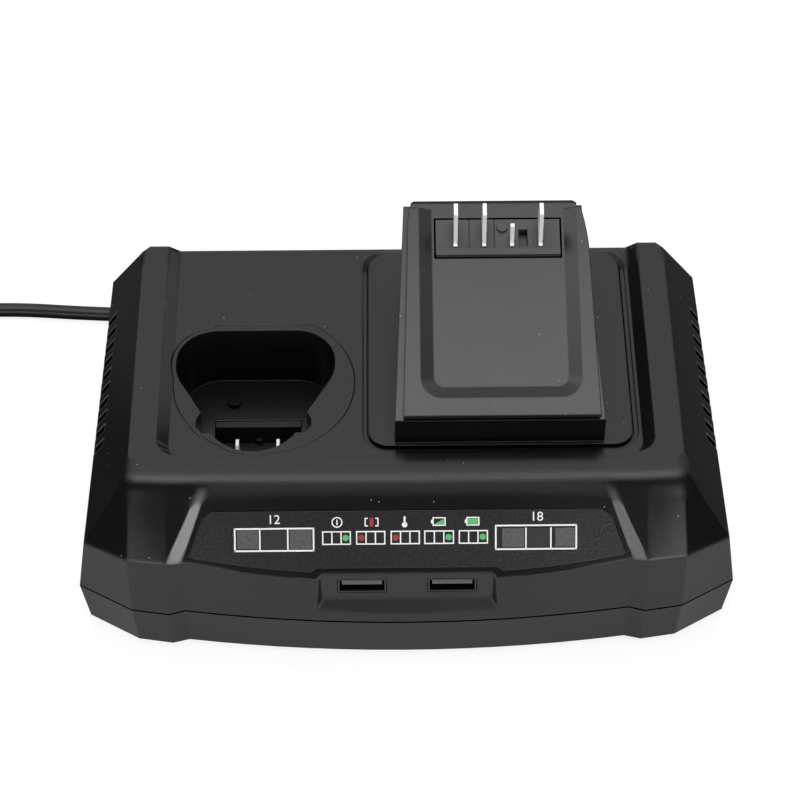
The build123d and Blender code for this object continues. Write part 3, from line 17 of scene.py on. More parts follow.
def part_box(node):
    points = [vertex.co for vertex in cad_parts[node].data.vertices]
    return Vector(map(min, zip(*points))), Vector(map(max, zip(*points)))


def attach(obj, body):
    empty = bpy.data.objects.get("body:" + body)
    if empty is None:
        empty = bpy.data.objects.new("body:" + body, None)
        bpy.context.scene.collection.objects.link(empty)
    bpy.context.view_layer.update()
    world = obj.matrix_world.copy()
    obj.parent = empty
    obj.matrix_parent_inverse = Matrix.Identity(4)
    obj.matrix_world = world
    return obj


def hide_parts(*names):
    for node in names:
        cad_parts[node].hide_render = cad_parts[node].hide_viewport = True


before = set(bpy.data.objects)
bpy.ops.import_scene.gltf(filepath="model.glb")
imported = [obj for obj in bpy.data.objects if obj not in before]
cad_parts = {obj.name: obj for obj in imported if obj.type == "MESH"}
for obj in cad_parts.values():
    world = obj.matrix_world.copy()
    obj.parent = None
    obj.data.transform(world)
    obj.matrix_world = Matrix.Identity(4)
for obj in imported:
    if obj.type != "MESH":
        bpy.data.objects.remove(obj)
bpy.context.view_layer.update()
MM = 0.001

# %% [markdown]
# ## The camera
# A product like this is pictured from in front and well above, with a long lens, so that
# its upright edges stay nearly parallel. A camera can be turned by three angles, but here
# its three directions are worked out and put into its matrix, so that the elevation, the
# small turn and the small roll can be read as they are.

# %% Camera in front, 50 degrees up
camera_elevation = radians(50.0)
camera_turn = radians(-0.491)
camera_roll = radians(-0.105)
camera_distance = 0.73433
camera_aim = Vector((-0.0013, 0.01212, 0.030))
camera_lens = 113.37

forward = Vector((-sin(camera_turn) * cos(camera_elevation),
                  cos(camera_turn) * cos(camera_elevation), -sin(camera_elevation)))
level = Vector((cos(camera_turn), sin(camera_turn), 0))
upright = level.cross(forward)
right = level * cos(camera_roll) + upright * sin(camera_roll)
up = upright * cos(camera_roll) - level * sin(camera_roll)

camera_data = bpy.data.cameras.new("camera")
camera_data.lens = camera_lens
camera_data.sensor_width = 36.0
camera = bpy.data.objects.new("camera", camera_data)
bpy.context.scene.collection.objects.link(camera)
turn = Matrix((right, up, -forward)).transposed().to_4x4()
camera.matrix_world = Matrix.Translation(camera_aim - forward * camera_distance) @ turn
bpy.context.scene.camera = camera
print("camera at", [round(v, 3) for v in camera.location])

# %% [markdown]
# ## The mains lead
# A flexible lead keeps its length and never kinks. One smooth curve is drawn through it:
# straight out of the strain relief, down to the table, and along it to the left, where the
# spare length is wound up. The line is a NURBS curve, because it bends gently between its
# points, and its thickness is the curve's round bevel. The bevel is 1 m and each point's
# radius scales it down to the lead's own, because Blender reckons a curve's box with the
# radius of its points.
#
# The wound part is a flat coil in two layers. Each turn stays on its own column and steps
# over to the next one in a quarter of a turn, so that the turns lie side by side. The lower
# layer runs inwards, the upper one outwards.

# %% Route of the lead
cord_diameter = 0.0044
cord_exit = (0.046, 0.0746, 0.009)
lead_route = [
    cord_exit, (0.046, 0.0866, 0.009), (0.0394, 0.0984, 0.0066), (0.0279, 0.1048, 0.0038),
    (0.0150, 0.1042, 0.0025), (0.0040, 0.0968, 0.0022), (-0.0090, 0.0893, 0.0022),
    (-0.0250, 0.0834, 0.0022), (-0.0425, 0.0779, 0.0022), (-0.0610, 0.0737, 0.0022),
    (-0.0805, 0.0711, 0.0022), (-0.1005, 0.0722, 0.0022), (-0.1210, 0.0741, 0.0022),
    (-0.1414, 0.0736, 0.0022), (-0.1587, 0.0736, 0.0022),
]
tail_route = [
    (-0.2098, 0.0225, 0.0066), (-0.2098, 0.0114, 0.0066), (-0.2066, -0.0014, 0.0052),
    (-0.1995, -0.0117, 0.0050), (-0.1880, -0.0170, 0.0070), (-0.1785, -0.0170, 0.0070),
]
coil_middle = (-0.176, 0.0398)
coil_outer_radius = 0.0338
coil_columns = 5
coil_turns = 9.25
step_share = 0.25                         # share of a turn in which it steps a column
inward_step, outward_step = 0.75, 0.5     # where in each turn that step begins
points_per_turn = 16


def ease(x):
    """0 before 0, 1 after 1, and 3x squared minus 2x cubed between them."""
    x = np.clip(x, 0, 1)
    return x * x * (3 - 2 * x)


def columns_passed(turns, start):
    """Columns stepped over after so many turns: one in a quarter of each turn, from start."""
    turns = np.maximum(turns, 0)
    return np.floor(turns) + ease((turns % 1 - start) / step_share)


def coil_points():
    """Two layers of turns: inwards below, up in the last quarter of turn five, outwards above.

    The radius is the outer one less a diameter for each column. The control points stand a
    little outside the turn, by 1 over the cosine of half their spacing, because the curve
    passes inside them.
    """
    turns = np.arange(1, coil_turns * points_per_turn) / points_per_turn
    inward = np.minimum(columns_passed(turns, inward_step), coil_columns - 1)
    above = columns_passed(turns - coil_columns, outward_step)
    outward = np.where(turns > coil_columns, above, 0)
    radius = coil_outer_radius - cord_diameter * (inward - outward)
    radius = radius / cos(pi / points_per_turn)
    angle = pi / 2 + 2 * pi * turns
    height = cord_diameter * (0.5 + ease((turns - coil_columns + step_share) / step_share))
    return np.stack([coil_middle[0] + radius * np.cos(angle),
                     coil_middle[1] + radius * np.sin(angle), height], axis=1)


route = np.concatenate([lead_route, coil_points(), tail_route])
print("route of", len(route), "points")

# %% The lead as one curve
cord_curve = bpy.data.curves.new("mains_cord", "CURVE")
cord_curve.dimensions = "3D"
spline = cord_curve.splines.new("NURBS")
spline.points.add(len(route) - 1)
spline.points.foreach_set("co", np.column_stack([route, np.ones(len(route))]).ravel())
spline.order_u = 3
spline.use_endpoint_u = True
spline.resolution_u = 8
spline.points.foreach_set("radius", np.full(len(route), cord_diameter / 2))
cord_curve.bevel_depth = 1.0
cord_curve.bevel_resolution = 5
cord_curve.use_fill_caps = True
mains_cord = bpy.data.objects.new("mains_cord", cord_curve)
bpy.context.scene.collection.objects.link(mains_cord)
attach(mains_cord, "root")
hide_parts("cord_tube", "cord_tail", "cord_coil")
print("lead", round(cord_diameter / MM, 1), "mm thick")

# %% [markdown]
# ## Turned and moulded pieces on the lead
# The strain relief is a rubber sleeve: a flange on each side of the wall, then a taper cut by
# rings so that it bends evenly. The plug is a moulded body with finger grips. Both are
# surfaces on a grid: one direction runs along the piece, the other round it.

# %% A helper that makes a mesh from a grid
def grid_piece(name, points):
    """A mesh from an array of rings (ring, step round, xyz): rings closed and ends capped."""
    rings, steps, _ = points.shape
    here = np.arange(rings * steps).reshape(rings, steps)
    beside = np.roll(here, -1, axis=1)
    quads = np.stack([here[:-1], beside[:-1], beside[1:], here[1:]], axis=-1)
    faces = quads.reshape(-1, 4).tolist()
    faces += [here[0, ::-1].tolist(), here[-1].tolist()]
    mesh = bpy.data.meshes.new(name)
    mesh.from_pydata(points.reshape(-1, 3).tolist(), [], faces)
    mesh.update()
    piece = bpy.data.objects.new(name, mesh)
    bpy.context.scene.collection.objects.link(piece)
    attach(piece, "root")
    print(name, len(mesh.polygons), "faces")
    return piece


def smooth_by_angle(piece, angle=35.0):
    """Shades a piece smooth where neighbouring faces meet at less than an angle."""
    piece.data.shade_smooth()
    piece.data.set_sharp_from_angle(angle=radians(angle))


# %% Strain relief with rings
sleeve_rings = 6
land_share = 0.62          # of the distance from one ring to the next
groove_depth = 0.55
land_chamfer = 0.15


def relief_profile():
    """Distance along the sleeve and its radius, in mm: flange, groove, flange, ringed taper.

    Each ring of the taper is a short land and a groove, on a radius that falls in a
    straight line from root to tip.
    """
    root, tip, start, end = 3.9, 2.9, 58.4, 74.6
    pitch = (end - start) / sleeve_rings
    profile = [(52.2, 4.6), (52.6, 5.0), (53.7, 5.0), (53.7, 4.1), (57.0, 4.1),
               (57.0, 4.7), (57.3, 5.0), (58.1, 5.0), (start, 4.7), (start, root)]
    for ring in range(sleeve_rings):
        low = start + ring * pitch
        high = low + land_share * pitch
        for place, drop in ((low, 0.0), (high - land_chamfer, 0.0), (high, land_chamfer),
                            (high, groove_depth), (low + pitch, groove_depth)):
            share = (place - start) / (end - start)
            profile.append((place, root + (tip - root) * share - drop))
    profile.append((end, tip))
    return np.array(profile)


profile = relief_profile()
round_steps = np.linspace(0, 2 * pi, 40, endpoint=False)
sleeve = np.empty((len(profile), len(round_steps), 3))
sleeve[..., 0] = cord_exit[0] + MM * np.outer(profile[:, 1], np.cos(round_steps))
sleeve[..., 1] = MM * profile[:, 0, None]
sleeve[..., 2] = cord_exit[2] - MM * np.outer(profile[:, 1], np.sin(round_steps))
relief = grid_piece("cord_strain_relief", sleeve)
smooth_by_angle(relief)
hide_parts("strain_relief")

# %% Plug with finger grips
plug_low, plug_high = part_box("plug")
plug_centre_y = (plug_low.y + plug_high.y) / 2
plug_centre_z = (plug_low.z + plug_high.z) / 2

# Sizes in mm, but for the shares. Powers of 2 make a round section, of 4 a rounded rectangle.
collar_length, body_length = 12.0, 30.0
collar_radius, collar_growth = 3.0, 1.3
collar_ring, collar_pitch = 0.35, 2.4
body_half_width, body_half_height = 12.0, 7.0
front_share, back_share = 0.08, 0.04      # shares of the body's length that are rounded
waist_share = 0.10                        # share of its half width that the waist takes
ridge_share, ridge_pitch = 0.012, 1.6
round_power, body_power = 2.0, 4.0


def plug_rings():
    """Rings of a rounded rectangle (a superellipse) along X: a ringed collar, then the body.

    The body's ends are rounded like a quarter circle: the root of 1 less a square. Its half
    width waists in by the square of a sine, and fine ridges are a sine of the distance.
    """
    along = np.concatenate([np.linspace(0.0, collar_length, 49),
                            np.linspace(collar_length + 0.3, collar_length + body_length, 90)])
    collar = along <= collar_length
    body = np.clip((along - collar_length) / body_length, 0, 1)
    rise = np.sqrt(np.clip(1 - (1 - np.clip(body / front_share, 0, 1)) ** 2, 0, 1))
    back = np.clip((body - (1 - back_share)) / back_share, 0, 1)
    fall = np.sqrt(np.clip(1 - back ** 2, 0, 1))
    edge = np.where(collar, 0.0, 0.80 + 0.20 * np.minimum(rise, 0.6 + 0.4 * fall))
    waist = 1 - waist_share * np.sin(pi * np.clip((body - 0.15) / 0.7, 0, 1)) ** 2
    ridges = (1 + np.sin(along * 2 * pi / ridge_pitch)) * (abs(body - 0.5) < 0.3)
    grip = 1 - ridge_share * ridges
    rings = collar_ring * (np.sin(along * 2 * pi / collar_pitch) > 0.3)
    neck = collar_radius + collar_growth * along / collar_length - rings * (along < 11.0)
    half_width = np.where(collar, neck, body_half_width * edge * waist * grip)
    half_height = np.where(collar, neck, body_half_height * edge)
    power = np.where(collar, round_power, body_power)
    angle = np.linspace(0, 2 * pi, 72, endpoint=False)
    c, s = np.cos(angle), np.sin(angle)
    shape = (abs(c) ** power[:, None] + abs(s) ** power[:, None]) ** (-1 / power[:, None])
    points = np.empty((len(along), len(angle), 3))
    points[..., 0] = plug_low.x + MM * along[:, None]
    points[..., 1] = plug_centre_y + MM * half_width[:, None] * shape * c
    points[..., 2] = plug_centre_z + MM * half_height[:, None] * shape * s
    return points


plug_body = grid_piece("plug_body", plug_rings())
smooth_by_angle(plug_body, 50)
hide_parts("plug")

# %% [markdown]
# ## Shader helpers
# Each material is a small tree of nodes. A few functions keep the scripts short: they make a
# node and fill its sockets, start a material with its surface shader, and start or place a
# group. A group is a tree of its own that several materials share, so a change to it reaches
# them all.

# %% Helpers that make nodes and materials
def add_node(tree, kind, inputs=(), **settings):
    """Makes a node. inputs maps a socket to a value or to the output that feeds it."""
    node = tree.nodes.new(kind)
    for name, value in settings.items():
        setattr(node, name, value)
    for socket, value in dict(inputs).items():
        if isinstance(value, bpy.types.NodeSocket):
            tree.links.new(value, node.inputs[socket])
        else:
            node.inputs[socket].default_value = value
    return node


def math_node(tree, operation, a, b=0.0, clamp=False):
    """One sum: the result of an operation on two values or outputs."""
    node = add_node(tree, "ShaderNodeMath", {0: a, 1: b}, operation=operation, use_clamp=clamp)
    return node.outputs[0]


def vector_node(tree, operation, a, b=(0, 0, 0)):
    """One sum on vectors: its vector result, or its value for a length or a dot product."""
    node = add_node(tree, "ShaderNodeVectorMath", {0: a, 1: b}, operation=operation)
    return node.outputs["Value" if operation in ("LENGTH", "DOT_PRODUCT") else "Vector"]


def mix_colours(tree, factor, a, b):
    """Colour a where the factor is 0, colour b where it is 1."""
    node = add_node(tree, "ShaderNodeMix", {"Factor": factor}, data_type="RGBA")
    for socket, value in ((node.inputs[6], a), (node.inputs[7], b)):
        if isinstance(value, bpy.types.NodeSocket):
            tree.links.new(value, socket)
        else:
            socket.default_value = (*value, 1.0)
    return node.outputs[2]


def start_material(name, **sockets):
    """A material and its Principled shader, with plain values set on the shader's sockets."""
    material = bpy.data.materials.new(name)
    material.use_nodes = True
    shader = material.node_tree.nodes["Principled BSDF"]
    for socket, value in sockets.items():
        shader.inputs[socket].default_value = value
    return material, material.node_tree, shader


socket_kinds = {"value": "NodeSocketFloat", "vector": "NodeSocketVector"}


def start_group(name, inputs, outputs):
    """An empty shader group, the outputs of its given values and the inputs of its results.

    inputs holds (name, kind, value) and outputs (name, kind).
    """
    group = bpy.data.node_groups.new(name, "ShaderNodeTree")
    for title, kind, value in inputs:
        socket = group.interface.new_socket(title, in_out="INPUT", socket_type=socket_kinds[kind])
        socket.default_value = value
    for title, kind in outputs:
        group.interface.new_socket(title, in_out="OUTPUT", socket_type=socket_kinds[kind])
    given = group.nodes.new("NodeGroupInput").outputs
    results = group.nodes.new("NodeGroupOutput").inputs
    return group, given, results


def place_group(tree, group, inputs):
    """Puts a shader group into a tree with its own values, and gives its outputs."""
    return add_node(tree, "ShaderNodeGroup", inputs, node_tree=group).outputs


print("kinds of group sockets:", ", ".join(socket_kinds))

# %% [markdown]
# ## What moulded plastic looks like
# The casing is moulded in a steel tool that was spark eroded, so it has a fine even grain. It
# is handled, so its gloss is cloudy, and a few specks of dust lie on what faces up. All three
# come from noise on the piece's own coordinates, in one group that every plastic uses. The
# group also softens the edges, because no moulded edge is quite sharp.

# %% The moulded plastic group
cloud_scale = 40.0              # clouds of gloss per metre
speck_scale = 700.0             # places for a speck of dust per metre
speck_radius = 0.10             # as a share of a place
speck_share = 0.032             # share of the places that hold a speck
level_enough = 0.3              # upward part of the normal from which dust stays
edge_start, edge_full = 0.98, 0.85        # cosines between the softened and the true normal

moulded, given, results = start_group(
    "Moulded surface",
    [("Grain size mm", "value", 0.3), ("Grain depth mm", "value", 0.02),
     ("Roughness", "value", 0.3), ("Cloud", "value", 0.06), ("Dust", "value", 1.0),
     ("Edge mm", "value", 0.35)],
    [("Grain", "value"), ("Roughness", "value"), ("Dust", "value"), ("Edge", "value"),
     ("Normal", "vector")])
place = add_node(moulded, "ShaderNodeTexCoord").outputs["Object"]
grain = add_node(moulded, "ShaderNodeTexNoise",
                 {"Vector": place, "Detail": 2.0,
                  "Scale": math_node(moulded, "DIVIDE", 1 / MM, given["Grain size mm"])})
cloud = add_node(moulded, "ShaderNodeTexNoise",
                 {"Vector": place, "Scale": cloud_scale, "Detail": 4.0, "Roughness": 0.6})
shift = math_node(moulded, "MULTIPLY", math_node(moulded, "SUBTRACT", cloud.outputs[0], 0.5),
                  given["Cloud"])
cloudy = math_node(moulded, "ADD", given["Roughness"], shift, clamp=True)

specks = add_node(moulded, "ShaderNodeTexVoronoi", {"Vector": place, "Scale": speck_scale})
speck = math_node(moulded, "LESS_THAN", specks.outputs["Distance"], speck_radius)
chosen = add_node(moulded, "ShaderNodeTexWhiteNoise", {"Vector": specks.outputs["Position"]})
rare = math_node(moulded, "GREATER_THAN", chosen.outputs["Value"], 1 - speck_share)
geometry = add_node(moulded, "ShaderNodeNewGeometry")
facing = add_node(moulded, "ShaderNodeSeparateXYZ", {0: geometry.outputs["Normal"]})
lying = math_node(moulded, "GREATER_THAN", facing.outputs["Z"], level_enough)
dust = math_node(moulded, "MULTIPLY", math_node(moulded, "MULTIPLY", speck, rare), lying)

soft_edge = add_node(moulded, "ShaderNodeBevel",
                     {"Radius": math_node(moulded, "MULTIPLY", given["Edge mm"], MM)}, samples=6)
grained = add_node(moulded, "ShaderNodeBump",
                   {"Strength": 1.0, "Height": grain.outputs[0], "Normal": soft_edge.outputs[0],
                    "Distance": math_node(moulded, "MULTIPLY", given["Grain depth mm"], MM)})
kept = vector_node(moulded, "DOT_PRODUCT", soft_edge.outputs[0],
                   geometry.outputs["True Normal"])
edge = add_node(moulded, "ShaderNodeMapRange",
                {"Value": kept, "From Min": edge_start, "From Max": edge_full,
                 "To Min": 0.0, "To Max": 1.0})
moulded.links.new(edge.outputs[0], results["Edge"])
moulded.links.new(grain.outputs[0], results["Grain"])
moulded.links.new(cloudy, results["Roughness"])
moulded.links.new(math_node(moulded, "MULTIPLY", dust, given["Dust"]), results["Dust"])
moulded.links.new(grained.outputs[0], results["Normal"])
print(moulded.name, "group,", len(moulded.nodes), "nodes")

# %% [markdown]
# ## Painted shade in joints, painted highlights on slot edges, and round edges
# No light comes back out of the narrow gap between two mouldings, so it gets painted shade:
# it is painted black. The edges of the air slots get a painted highlight: they are painted
# paler, as if they caught the light. Some edges of the casing are rounder than the rest. All
# three hang on a place, not on a piece. Cutting the meshes there would need many small faces,
# so a box stands for each place, and a group gives the distance to it, which is below 0 inside.

# %% Group for the distance to a box
box_distance, given, results = start_group(
    "Distance to a box", [("Place", "vector", (0, 0, 0)), ("Middle", "vector", (0, 0, 0)),
                          ("Half size", "vector", (0, 0, 0))], [("Distance", "value")])
offset = vector_node(box_distance, "SUBTRACT", given["Place"], given["Middle"])
outside = vector_node(box_distance, "SUBTRACT", vector_node(box_distance, "ABSOLUTE", offset),
                      given["Half size"])
beyond = vector_node(box_distance, "LENGTH", vector_node(box_distance, "MAXIMUM", outside))
x, y, z = add_node(box_distance, "ShaderNodeSeparateXYZ", {0: outside}).outputs
deepest = math_node(box_distance, "MAXIMUM", math_node(box_distance, "MAXIMUM", x, y), z)
within = math_node(box_distance, "MINIMUM", deepest, 0.0)
box_distance.links.new(math_node(box_distance, "ADD", beyond, within), results["Distance"])
print(box_distance.name, "group,", len(box_distance.nodes), "nodes")

# %% Masks for the painted shade in the joints, the painted highlight round the slots, and the round edges
# Boxes as their two corners in mm: the groove of the parting line, the air slots of one
# side, and the outline of the blades' carrier on the slope of the dock.
parting_line = ((-200, -200, 15.85), (200, 200, 16.5))
slot_box = ((78, -16, 19), (95, 43, 43.6))
dock_angle = radians(18.5)
dock_edge = Vector((26.35, -22.9, 64.8)) * MM      # middle of the dock's front edge
carrier_outline = ((-17.65, 47.95, -10), (17.65, 59.95, 10))
# Reach of the painted shade on each side of the carrier's outline.
painted_gap_reach = 0.27 * MM

# Where the casing's edges are generously rounded: box corners (X is the distance from the
# middle, Y, Z) and the edge radius, in mm. A radius fades out over the distance zone_fade.
rounded_zones = {
    "front rim": ((0, -45, 50.5), (82, -29.5, 56), 4.5),
    "back edges": ((0, 44, 50), (95, 60, 56), 2.5),
    "skirt top": ((0, -60, 36.5), (95, -44, 39.5), 1.5),
    "front corners": ((74, -55, 38), (80, -36, 52), 1.2),
    "socket block": ((0, -60, 20), (31, -52, 37), 1.2),
}
zone_fade = 1.5 * MM


def from_box(tree, place, low, high):
    """Signed distance in metres from a place to a box whose corners are given in mm."""
    low, high = Vector(low) * MM, Vector(high) * MM
    return place_group(tree, box_distance, {"Place": place, "Middle": (low + high) / 2,
                                            "Half size": (high - low) / 2})["Distance"]


def parting_shade(tree):
    """Painted shade: 1 in and just round the groove between the two casings, 0 elsewhere."""
    place = add_node(tree, "ShaderNodeTexCoord").outputs["Object"]
    return math_node(tree, "LESS_THAN", from_box(tree, place, *parting_line), 0.0)


def carrier_shade(tree):
    """Painted shade: 1 in the gap round the blades' carrier, 0 elsewhere: places are turned level
    first.
    """
    place = add_node(tree, "ShaderNodeTexCoord").outputs["Object"]
    from_edge = vector_node(tree, "SUBTRACT", place, dock_edge)
    level = add_node(tree, "ShaderNodeMapping",
                     {"Vector": from_edge, "Rotation": (-dock_angle, 0, 0)}).outputs[0]
    away = from_box(tree, level, *carrier_outline)
    return math_node(tree, "LESS_THAN", math_node(tree, "ABSOLUTE", away), painted_gap_reach)


def mirrored_place(tree):
    """The place with its X taken from the middle, so that one box serves both sides."""
    place = add_node(tree, "ShaderNodeTexCoord").outputs["Object"]
    x, y, z = add_node(tree, "ShaderNodeSeparateXYZ", {0: place}).outputs
    return add_node(tree, "ShaderNodeCombineXYZ",
                    {0: math_node(tree, "ABSOLUTE", x), 1: y, 2: z}).outputs[0]


def slot_place(tree):
    """1 round the air slots in the two sides, where edges get a painted highlight, 0 elsewhere."""
    return math_node(tree, "LESS_THAN", from_box(tree, mirrored_place(tree), *slot_box), 0.0)


def casing_rounding(tree, edge):
    """Edge radius in mm: the largest of the usual one and of every zone's own near its box."""
    place = mirrored_place(tree)
    radius = edge
    for low, high, wide in rounded_zones.values():
        zone = add_node(tree, "ShaderNodeMapRange",
                        {"Value": from_box(tree, place, low, high), "From Min": 0.0,
                         "From Max": zone_fade, "To Min": wide, "To Max": 0.0})
        radius = math_node(tree, "MAXIMUM", radius, zone.outputs[0])
    return radius


print("rounded zones:", ", ".join(rounded_zones))

# %% [markdown]
# ## Plastics
# The two shells, the dock and the well are a tough black plastic. The blades' carrier is a
# dark grey one that stands heat, the feet and the strain relief are rubber, and the lead has
# They differ only in tone, gloss, grain and dust, so one function makes them
# all, and some get masks of their own: painted shade in their joints, a painted highlight on their
# edges, rounder edges.

# %% A function that makes a plastic
dust_tone = (0.45, 0.45, 0.43)
# Paler tone for the painted highlight on edges.
edge_highlight_tone = (0.30, 0.30, 0.30)
# Black for the painted shade in gaps.
unlit_tone = (0.0, 0.0, 0.0)
usual_specular = 0.5


def plastic(name, colour, roughness, grain_mm=0.3, grain_depth=0.02, cloud=0.06, dust=1.0,
            edge=0.35, wide_edge=None, painted_shade=None, painted_edge_highlight=None):
    """A moulded plastic: colour with dust, cloudy gloss, fine grain, and softened edges.

    wide_edge builds a larger edge radius for some places, in mm. The next argument builds a
    mask of painted shade: places painted black, as no light comes back from them. The last
    builds a mask of edges that get a painted highlight, painted paler as if they caught light.
    """
    material, tree, shader = start_material(name, IOR=1.46)
    radius = wide_edge(tree, edge) if wide_edge else edge
    surface = place_group(tree, moulded, {
        "Grain size mm": grain_mm, "Grain depth mm": grain_depth, "Roughness": roughness,
        "Cloud": cloud, "Dust": dust, "Edge mm": radius})
    tone = mix_colours(tree, surface["Dust"], colour, dust_tone)
    # Painted highlight: edges in the mask are mixed towards a paler tone, as if they caught the
    # light.
    if painted_edge_highlight:
        highlighted_edges = math_node(tree, "MULTIPLY", surface["Edge"], painted_edge_highlight(tree))
        tone = mix_colours(tree, highlighted_edges, tone, edge_highlight_tone)
    # Painted shade: places in the mask are painted black and lose their gloss.
    if painted_shade:
        dark = painted_shade(tree)
        tone = mix_colours(tree, dark, tone, unlit_tone)
        lost = math_node(tree, "MULTIPLY", dark, usual_specular)
        tree.links.new(math_node(tree, "SUBTRACT", usual_specular, lost),
                       shader.inputs["Specular IOR Level"])
    tree.links.new(tone, shader.inputs["Base Color"])
    tree.links.new(surface["Roughness"], shader.inputs["Roughness"])
    tree.links.new(surface["Normal"], shader.inputs["Normal"])
    return material


def dress(material, *names):
    """Gives a material to CAD nodes or pieces, in place of what they had."""
    for name in names:
        piece = bpy.data.objects[name]
        piece.data.materials.clear()
        piece.data.materials.append(material)
    print(material.name, "on", ", ".join(names))


# %% Plastic pieces
black = (0.0055, 0.0055, 0.0058)
# The casing gets painted shade in its parting groove and a painted highlight round its air slots.
dress(plastic("casing plastic", black, 0.21, edge=0.5, wide_edge=casing_rounding,
              painted_shade=parting_shade, painted_edge_highlight=slot_place), "upper_casing", "lower_casing")
dress(plastic("dock plastic", black, 0.24, edge=0.5, cloud=0.10, painted_shade=carrier_shade),
      "dock_housing")
dress(plastic("well plastic", (0.004, 0.004, 0.004), 0.30, edge=0.4, dust=0.3), "pack_well")
dress(plastic("carrier plastic", (0.032, 0.032, 0.033), 0.42, edge=0.2, painted_shade=carrier_shade),
      "terminal_carrier")
dress(plastic("contact block plastic", (0.007, 0.007, 0.007), 0.50, edge=0.2, dust=0.0),
      "well_contact_block")
# Painted light: the tongues' grey is paler than their dark plastic, standing in for the light they
# reflect inside the sockets.
dress(plastic("socket tongue plastic", (0.13, 0.13, 0.135), 0.4, dust=0.0, edge=0.1),
      "socket_tongues")
dress(plastic("rubber", (0.012, 0.012, 0.012), 0.55, grain_mm=0.5, grain_depth=0.04, dust=0.4,
              edge=0.3), "rubber_feet", "cord_strain_relief")
dress(plastic("cord sheath", (0.010, 0.010, 0.010), 0.36, grain_mm=0.6, grain_depth=0.03,
              dust=0.0, edge=0.1), "mains_cord")
dress(plastic("plug plastic", (0.012, 0.012, 0.012), 0.34, edge=0.3, dust=0.3), "plug_body")

# %% [markdown]
# ## Front label, windows and printing
# The label is a film with a coarser grain than the casing. The windows over the lights are
# frosted, apart from the middle one of each row, which is dark. The printing is flat ink on
# the film, so it is modelled as thin faces a hair above it, in the frame of the sloping
# panel: across, down the slope, and out of it.

# %% The mottled group: soft patches of a given size
mottled, given, results = start_group(
    "Mottled", [("Size mm", "value", 0.4)], [("Mottle", "value")])
patches = add_node(mottled, "ShaderNodeTexNoise",
                   {"Vector": add_node(mottled, "ShaderNodeTexCoord").outputs["Object"],
                    "Scale": math_node(mottled, "DIVIDE", 1 / MM, given["Size mm"]),
                    "Detail": 3.0})
mottled.links.new(patches.outputs[0], results["Mottle"])
print(mottled.name, "group,", len(mottled.nodes), "nodes")

# %% Label film
film, tree, shader = start_material("label film", IOR=1.47)
surface = place_group(tree, moulded, {"Grain size mm": 0.5, "Grain depth mm": 0.05,
                                      "Roughness": 0.32, "Cloud": 0.05, "Edge mm": 0.25})
flecks = add_node(tree, "ShaderNodeMapRange",
                  {"Value": surface["Grain"], "From Min": 0.45, "From Max": 0.75})
tone = mix_colours(tree, flecks.outputs[0], (0.006, 0.006, 0.0065), (0.024, 0.024, 0.025))
tree.links.new(tone, shader.inputs["Base Color"])
tree.links.new(surface["Roughness"], shader.inputs["Roughness"])
tree.links.new(surface["Normal"], shader.inputs["Normal"])
dress(film, "panel_label")

# %% Frosted windows, the middle one of each row dark
dark_window_middle = 0.03625         # from the middle of the panel
dark_window_reach = 0.0036

frosted, tree, shader = start_material("frosted window", IOR=1.49, Roughness=0.45)
place = add_node(tree, "ShaderNodeTexCoord").outputs["Object"]
across = add_node(tree, "ShaderNodeSeparateXYZ", {0: place}).outputs["X"]
from_dark = math_node(tree, "SUBTRACT", math_node(tree, "ABSOLUTE", across), dark_window_middle)
dark = math_node(tree, "LESS_THAN", math_node(tree, "ABSOLUTE", from_dark), dark_window_reach)
frost = place_group(tree, mottled, {"Size mm": 0.25})["Mottle"]
speckle = add_node(tree, "ShaderNodeMapRange",
                   {"Value": frost, "From Min": 0.35, "From Max": 0.65})
light_tone = mix_colours(tree, speckle.outputs[0], (0.035, 0.035, 0.036), (0.13, 0.13, 0.13))
tree.links.new(mix_colours(tree, dark, light_tone, (0.012, 0.012, 0.013)),
               shader.inputs["Base Color"])
dress(frosted, "light_windows")

# %% Places on the sloping panel
panel_angle = radians(48.2)
panel_origin = Vector((0, -0.0375, 0.0532))
panel_down = Vector((0, -cos(panel_angle), -sin(panel_angle)))
panel_out = Vector((0, -sin(panel_angle), cos(panel_angle)))
ink_height = 0.43 * MM
ink_faces = []
WHITE, GREEN, RED = 0, 1, 2
ring_steps = 32


def ink(points, colour):
    """Adds one flat face: points are (across, down the slope) in mm, seen clockwise or not."""
    flat = np.array(points, float)
    x, y = flat[:, 0], flat[:, 1]
    if np.sum(x * np.roll(y, -1) - np.roll(x, -1) * y) > 0:
        flat = flat[::-1]
    ink_faces.append((flat, colour))


def ink_bar(x0, x1, y0, y1, colour=WHITE):
    """A rectangle of ink."""
    ink([(x0, y0), (x1, y0), (x1, y1), (x0, y1)], colour)


def ink_frame(x0, x1, y0, y1, line, columns=1):
    """A rectangular frame of white bars, with upright bars between its columns."""
    ink_bar(x0, x1, y0, y0 + line)
    ink_bar(x0, x1, y1 - line, y1)
    for x in np.linspace(x0, x1 - line, columns + 1):
        ink_bar(x, x + line, y0 + line, y1 - line)


def ink_ring(x, y, outer, inner, colour=WHITE):
    """A ring of ink, as quads between two circles; a disc where the inner radius is 0."""
    angle = np.linspace(0, 2 * pi, ring_steps + 1)
    circle = np.stack([np.cos(angle), np.sin(angle)], axis=1)
    middle = np.array([x, y])
    if inner == 0:
        ink(middle + outer * circle[:-1], colour)
        return
    for a, b in zip(circle, circle[1:]):
        quad = (middle + inner * a, middle + outer * a, middle + outer * b, middle + inner * b)
        ink(quad, colour)


print("panel slopes", round(panel_angle / radians(1), 1), "degrees")

